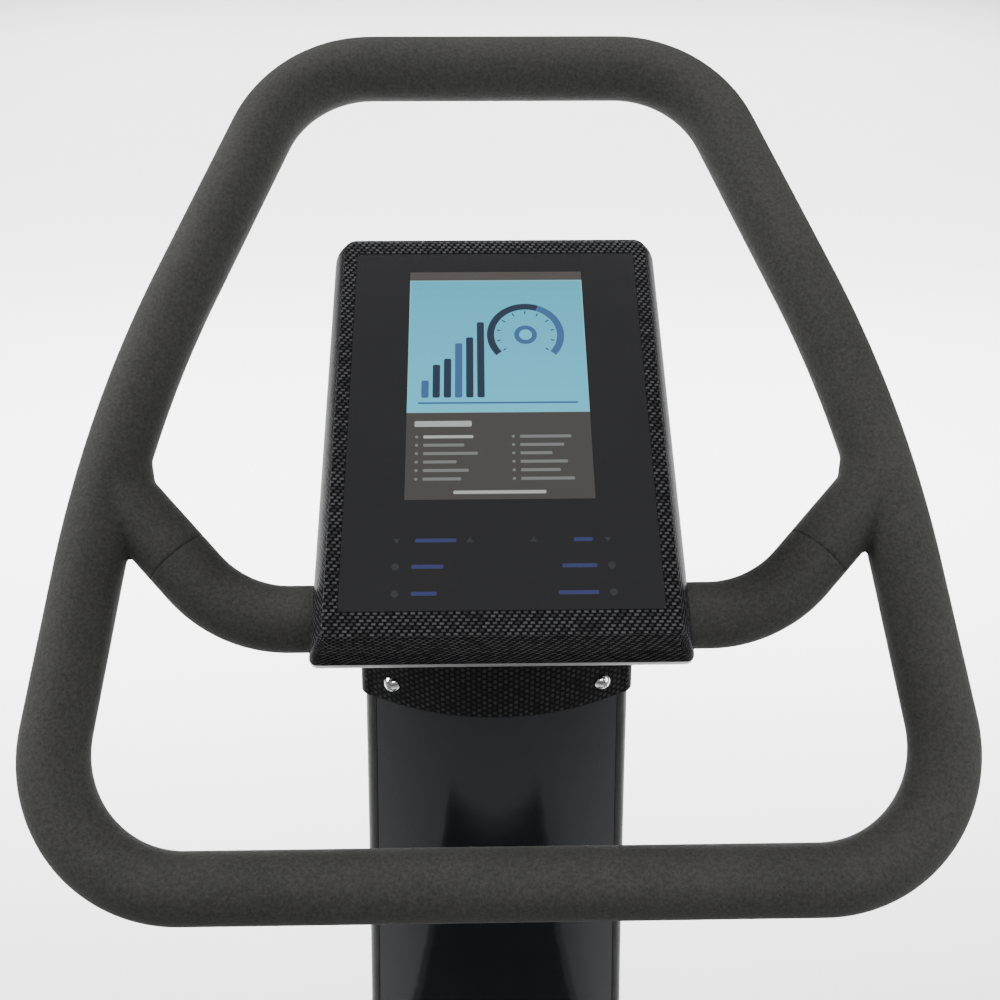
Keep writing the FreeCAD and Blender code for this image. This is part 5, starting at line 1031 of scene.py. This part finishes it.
def make_display_marks():
    """The lit picture: a pale blue field with a dial and level bars, and a dim list of bars below."""
    marks = Marks()
    add_field(marks)
    add_dial(marks)
    for i in range(6):
        height = (14 + 9 * i + (4 if i % 2 else 0)) * MM
        tint = INK if i % 3 else STEEL_BLUE
        marks.bar((-52 + 7.6 * i) * MM, FIELD_FROM + 12 * MM, 5 * MM, height, tint, 3, 1.2 * MM)
    marks.bar(-54 * MM, FIELD_FROM + 7 * MM, 108 * MM, 1.4 * MM, STEEL_BLUE, 3)
    marks.bar(LIST_LEFT, FIELD_FROM - 11 * MM, 38 * MM, 4.4 * MM, LIST_BRIGHT, 2, 1 * MM)
    for i, length in enumerate(LIST_LENGTHS):
        x = LIST_LEFT if i < LIST_ROWS else LIST_RIGHT
        along = FIELD_FROM - (20 + 6.4 * (i % LIST_ROWS)) * MM
        marks.disc(x + 1.6 * MM, along + 1.1 * MM, 1.1 * MM, LIST_DIM, 2, 10)
        marks.bar(x + 6 * MM, along, length * MM, 2.2 * MM, LIST_DIM if i else LIST_BRIGHT, 2, 0.6 * MM)
    marks.bar(-30 * MM, LCD_FROM + 4 * MM, 60 * MM, 2.4 * MM, LIST_BRIGHT, 2, 0.8 * MM)
    return marks.build("display")


def make_key_marks():
    """Dim marks over the touch keys: a short bar with a triangle or a dot beside it."""
    marks = Marks()
    high, middle, low = 66.4 * MM, 48.3 * MM, 30.1 * MM
    for x, up in ((-65.6, False), (-19.5, True), (20.8, True), (67.5, False)):
        marks.triangle(x * MM, high, 2.2 * MM, KEY_MARK, up)
    words = ((-54, 26, high), (46, 12, high), (-56, 20, middle), (38, 22, middle),
             (-56, 16, low), (35, 25, low))
    for x, width, along in words:
        marks.bar(x * MM, along - 1.3 * MM, width * MM, 2.6 * MM, KEY_WORD, 1, 0.8 * MM)
    for along in (middle, low):
        marks.disc(-66 * MM, along, 2.4 * MM, KEY_MARK)
        marks.disc(69 * MM, along, 2.4 * MM, KEY_MARK)
    return marks.build("key_marks")


# ------------------------------------------------------------ neck, mat
def copy_of(node, name):
    """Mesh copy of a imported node, where it sits."""
    data = NODES[node].data.copy()
    data.transform(NODES[node].matrix_world)
    data.name = name
    return linked(name, data)


def wrap_in_weave(node, name):
    """Neck moulding with upright tows: heights run down the tow, the way round the neck runs across it."""
    made = copy_of(node, name)
    mesh = made.data
    low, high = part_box(node)
    layer = mesh.uv_layers.new(name="weave")
    for polygon in mesh.polygons:
        normal = polygon.normal
        for index in polygon.loop_indices:
            place = mesh.vertices[mesh.loops[index].vertex_index].co
            side = math.copysign(1, place.x)
            if abs(normal.x) > SIDE_FACING:
                layer.data[index].uv = (place.z, side * (high.x + place.y - low.y - FRONT_BULGE))
            elif abs(normal.z) > TOP_FACING:
                layer.data[index].uv = (place.y, place.x)
            else:
                layer.data[index].uv = (place.z, place.x * (1 + NECK_BOW * (place.x / high.x) ** 2))
    # the neck's weave carries the painted shade of the console over the cowl
    finished(made, "carbon_weave", stands_for=[node], material=NECK_WEAVE_IN_PAINTED_SHADE)
    return sharpened(made, 32)


def make_stud_tree():
    """Raised bars on a grid, every second one turned; Width and Length are those of the field of bars."""
    group = bpy.data.node_groups.new("mat bars", "GeometryNodeTree")
    sizes = (("Width", 0.6), ("Length", 0.5), ("Pitch", 0.02), ("Bar", 0.013), ("Thickness", 0.0036),
             ("Height", 0.001))
    for label, value in sizes:
        group.interface.new_socket(label, in_out="INPUT", socket_type=FLOAT).default_value = value
    group.interface.new_socket("Material", in_out="INPUT", socket_type="NodeSocketMaterial")
    group.interface.new_socket("Geometry", in_out="OUTPUT", socket_type="NodeSocketGeometry")
    tree = Tree(group)
    given = tree.add("NodeGroupInput").outputs
    steps = [tree.math("DIVIDE", given[label], given["Pitch"]) for label in ("Width", "Length")]
    across, along = (tree.math("ADD", tree.math("ROUND", count), 1.0) for count in steps)
    grid = tree.add("GeometryNodeMeshGrid", {"Size X": given["Width"], "Size Y": given["Length"],
                                             "Vertices X": across, "Vertices Y": along})
    bar = tree.add("GeometryNodeCurvePrimitiveQuadrilateral",
                   {"Width": given["Bar"], "Height": given["Thickness"]})
    radius = tree.math("MULTIPLY", given["Thickness"], 0.45)
    rounded = {"Curve": bar.outputs[0], "Count": 4, "Radius": radius}
    fillet = tree.add("GeometryNodeFilletCurve", rounded, mode="POLY")
    face = tree.add("GeometryNodeFillCurve", {"Curve": fillet.outputs[0]}, mode="NGONS").outputs[0]
    raising = {"Mesh": face, "Offset Scale": given["Height"]}
    raised = tree.add("GeometryNodeExtrudeMesh", raising).outputs["Mesh"]
    joined = tree.add("GeometryNodeJoinGeometry")
    tree.feed(joined.inputs[0], raised)
    tree.feed(joined.inputs[0], tree.add("GeometryNodeFlipFaces", {"Mesh": face}).outputs[0])
    merged = {"Geometry": joined.outputs[0], "Distance": 0.02 * MM}
    closed = tree.add("GeometryNodeMergeByDistance", merged).outputs[0]
    index = tree.add("GeometryNodeInputIndex").outputs[0]
    column = tree.math("FLOOR", tree.math("DIVIDE", index, along))
    stagger = tree.math("MULTIPLY", column, tree.math("ADD", along, 1.0))
    odd = tree.math("MODULO", tree.math("ADD", index, stagger), 2.0)
    turn = tree.math("MULTIPLY_ADD", odd, math.pi / 2, math.pi / 4)
    spin = tree.add("ShaderNodeCombineXYZ", {2: turn}).outputs[0]
    spread = {"Points": grid.outputs[0], "Instance": closed, "Rotation": spin}
    placed = tree.add("GeometryNodeInstanceOnPoints", spread)
    real = tree.add("GeometryNodeRealizeInstances", {"Geometry": placed.outputs[0]}).outputs[0]
    painted = tree.add("GeometryNodeSetMaterial", {"Geometry": real, "Material": given["Material"]})
    tree.feed(tree.add("NodeGroupOutput").inputs["Geometry"], painted.outputs[0])
    return group


def make_mat_bars():
    """Anti-slip bars on the standing surface."""
    low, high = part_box("deck_mat")
    made = linked("mat_bars", bpy.data.meshes.new("mat_bars"))
    modifier = made.modifiers.new("bars", "NODES")
    modifier.node_group = make_stud_tree()
    wanted = {"Width": high.x - low.x - 2 * MAT_MARGIN, "Length": high.y - low.y - 2 * MAT_MARGIN,
              "Pitch": 17 * MM, "Bar": 14 * MM, "Thickness": 3.4 * MM, "Height": 1.3 * MM,
              "Material": MATERIALS["mat_rubber"]}
    for item in modifier.node_group.interface.items_tree:
        if item.in_out == "INPUT":
            modifier[item.identifier] = wanted[item.name]
    apply_modifiers(made)
    middle = (low + high) / 2
    made.data.transform(Matrix.Translation((middle.x, middle.y, high.z - MAT_SINK)))
    finished(made, "mat_rubber", "deck", smooth=False)


# ------------------------------------------------------------ studio
def make_floor():
    corners = [(x * FLOOR_HALF, y * FLOOR_HALF, 0) for x, y in ((-1, -1), (1, -1), (1, 1), (-1, 1))]
    mesh = bpy.data.meshes.new("floor")
    mesh.from_pydata(corners, [], [(0, 1, 2, 3)])
    floor = linked("floor", mesh)
    material, tree, shader = start_material("studio floor", Roughness=0.8, Specular_IOR_Level=0.2)
    wire(tree, shader, Base_Color=tree.mix(tree.noise(tree.place(), 1.5, 2.0), grey(0.87), grey(0.9)))
    mesh.materials.append(material)


def soft_box(name, place, target, width, height, power, spread=180):
    data = bpy.data.lights.new(name, "AREA")
    data.shape = "RECTANGLE"
    data.size = width
    data.size_y = height
    data.energy = power
    data.spread = math.radians(spread)
    light = linked(name, data)
    light.location = place
    light.rotation_euler = (Vector(target) - Vector(place)).to_track_quat("-Z", "Y").to_euler()


def make_studio():
    """Dim room, soft boxes round the grips, and two washes over the floor behind them."""
    world = bpy.data.worlds.new("studio")
    bpy.context.scene.world = world
    world.use_nodes = True
    background = world.node_tree.nodes["Background"].inputs
    background["Color"].default_value = (1, 1, 1, 1)
    background["Strength"].default_value = ROOM_LIGHT
    soft_box("left box", (-1.8, 0.5, 2.2), (-0.1, 0.25, 1.3), 1.2, 1.2, LEFT_BOX)
    soft_box("right box", (1.25, -0.15, 1.55), (0.25, 0.2, 1.3), 0.8, 0.9, RIGHT_BOX)
    soft_box("top box", (0.1, -1.0, 2.8), (0, 0.3, 1.3), 1.1, 0.9, TOP_BOX)
    soft_box("floor wash", (0, 4.6, 3.4), (0, 4.6, 0), 8.0, 7.0, FLOOR_WASH, 70)
    soft_box("near wash", (0, 1.9, 2.9), (0, 1.9, 0), 5.0, 1.6, NEAR_WASH, 70)


def make_camera():
    """Stands where the user's eyes are and looks down at the console."""
    data = bpy.data.cameras.new("camera")
    data.lens = 39.6
    data.sensor_width = 36.0
    data.shift_x = 0.0042
    data.shift_y = -0.0008
    camera = linked("camera", data)
    camera.location = CAMERA_PLACE
    turn = Matrix.Rotation(math.radians(CAMERA_TURN), 4, "Z")
    pitch = Matrix.Rotation(math.radians(90 - CAMERA_DOWN), 4, "X")
    roll = Matrix.Rotation(math.radians(CAMERA_ROLL), 4, "Z")
    camera.rotation_euler = (turn @ pitch @ roll).to_euler()
    bpy.context.scene.camera = camera


# ------------------------------------------------------------ build
dress_cad_nodes()
make_grip_foam()
make_arm_sleeve(-1, "arm_sleeve_left")
make_arm_sleeve(1, "arm_sleeve_right")
make_bezel()
make_rim()
make_tub()
make_glass()
make_display_marks()
make_key_marks()
wrap_in_weave("neck_cowl", "cowl")
wrap_in_weave("neck_cap", "cowl_cap")
make_mat_bars()
make_floor()
make_studio()
make_camera()
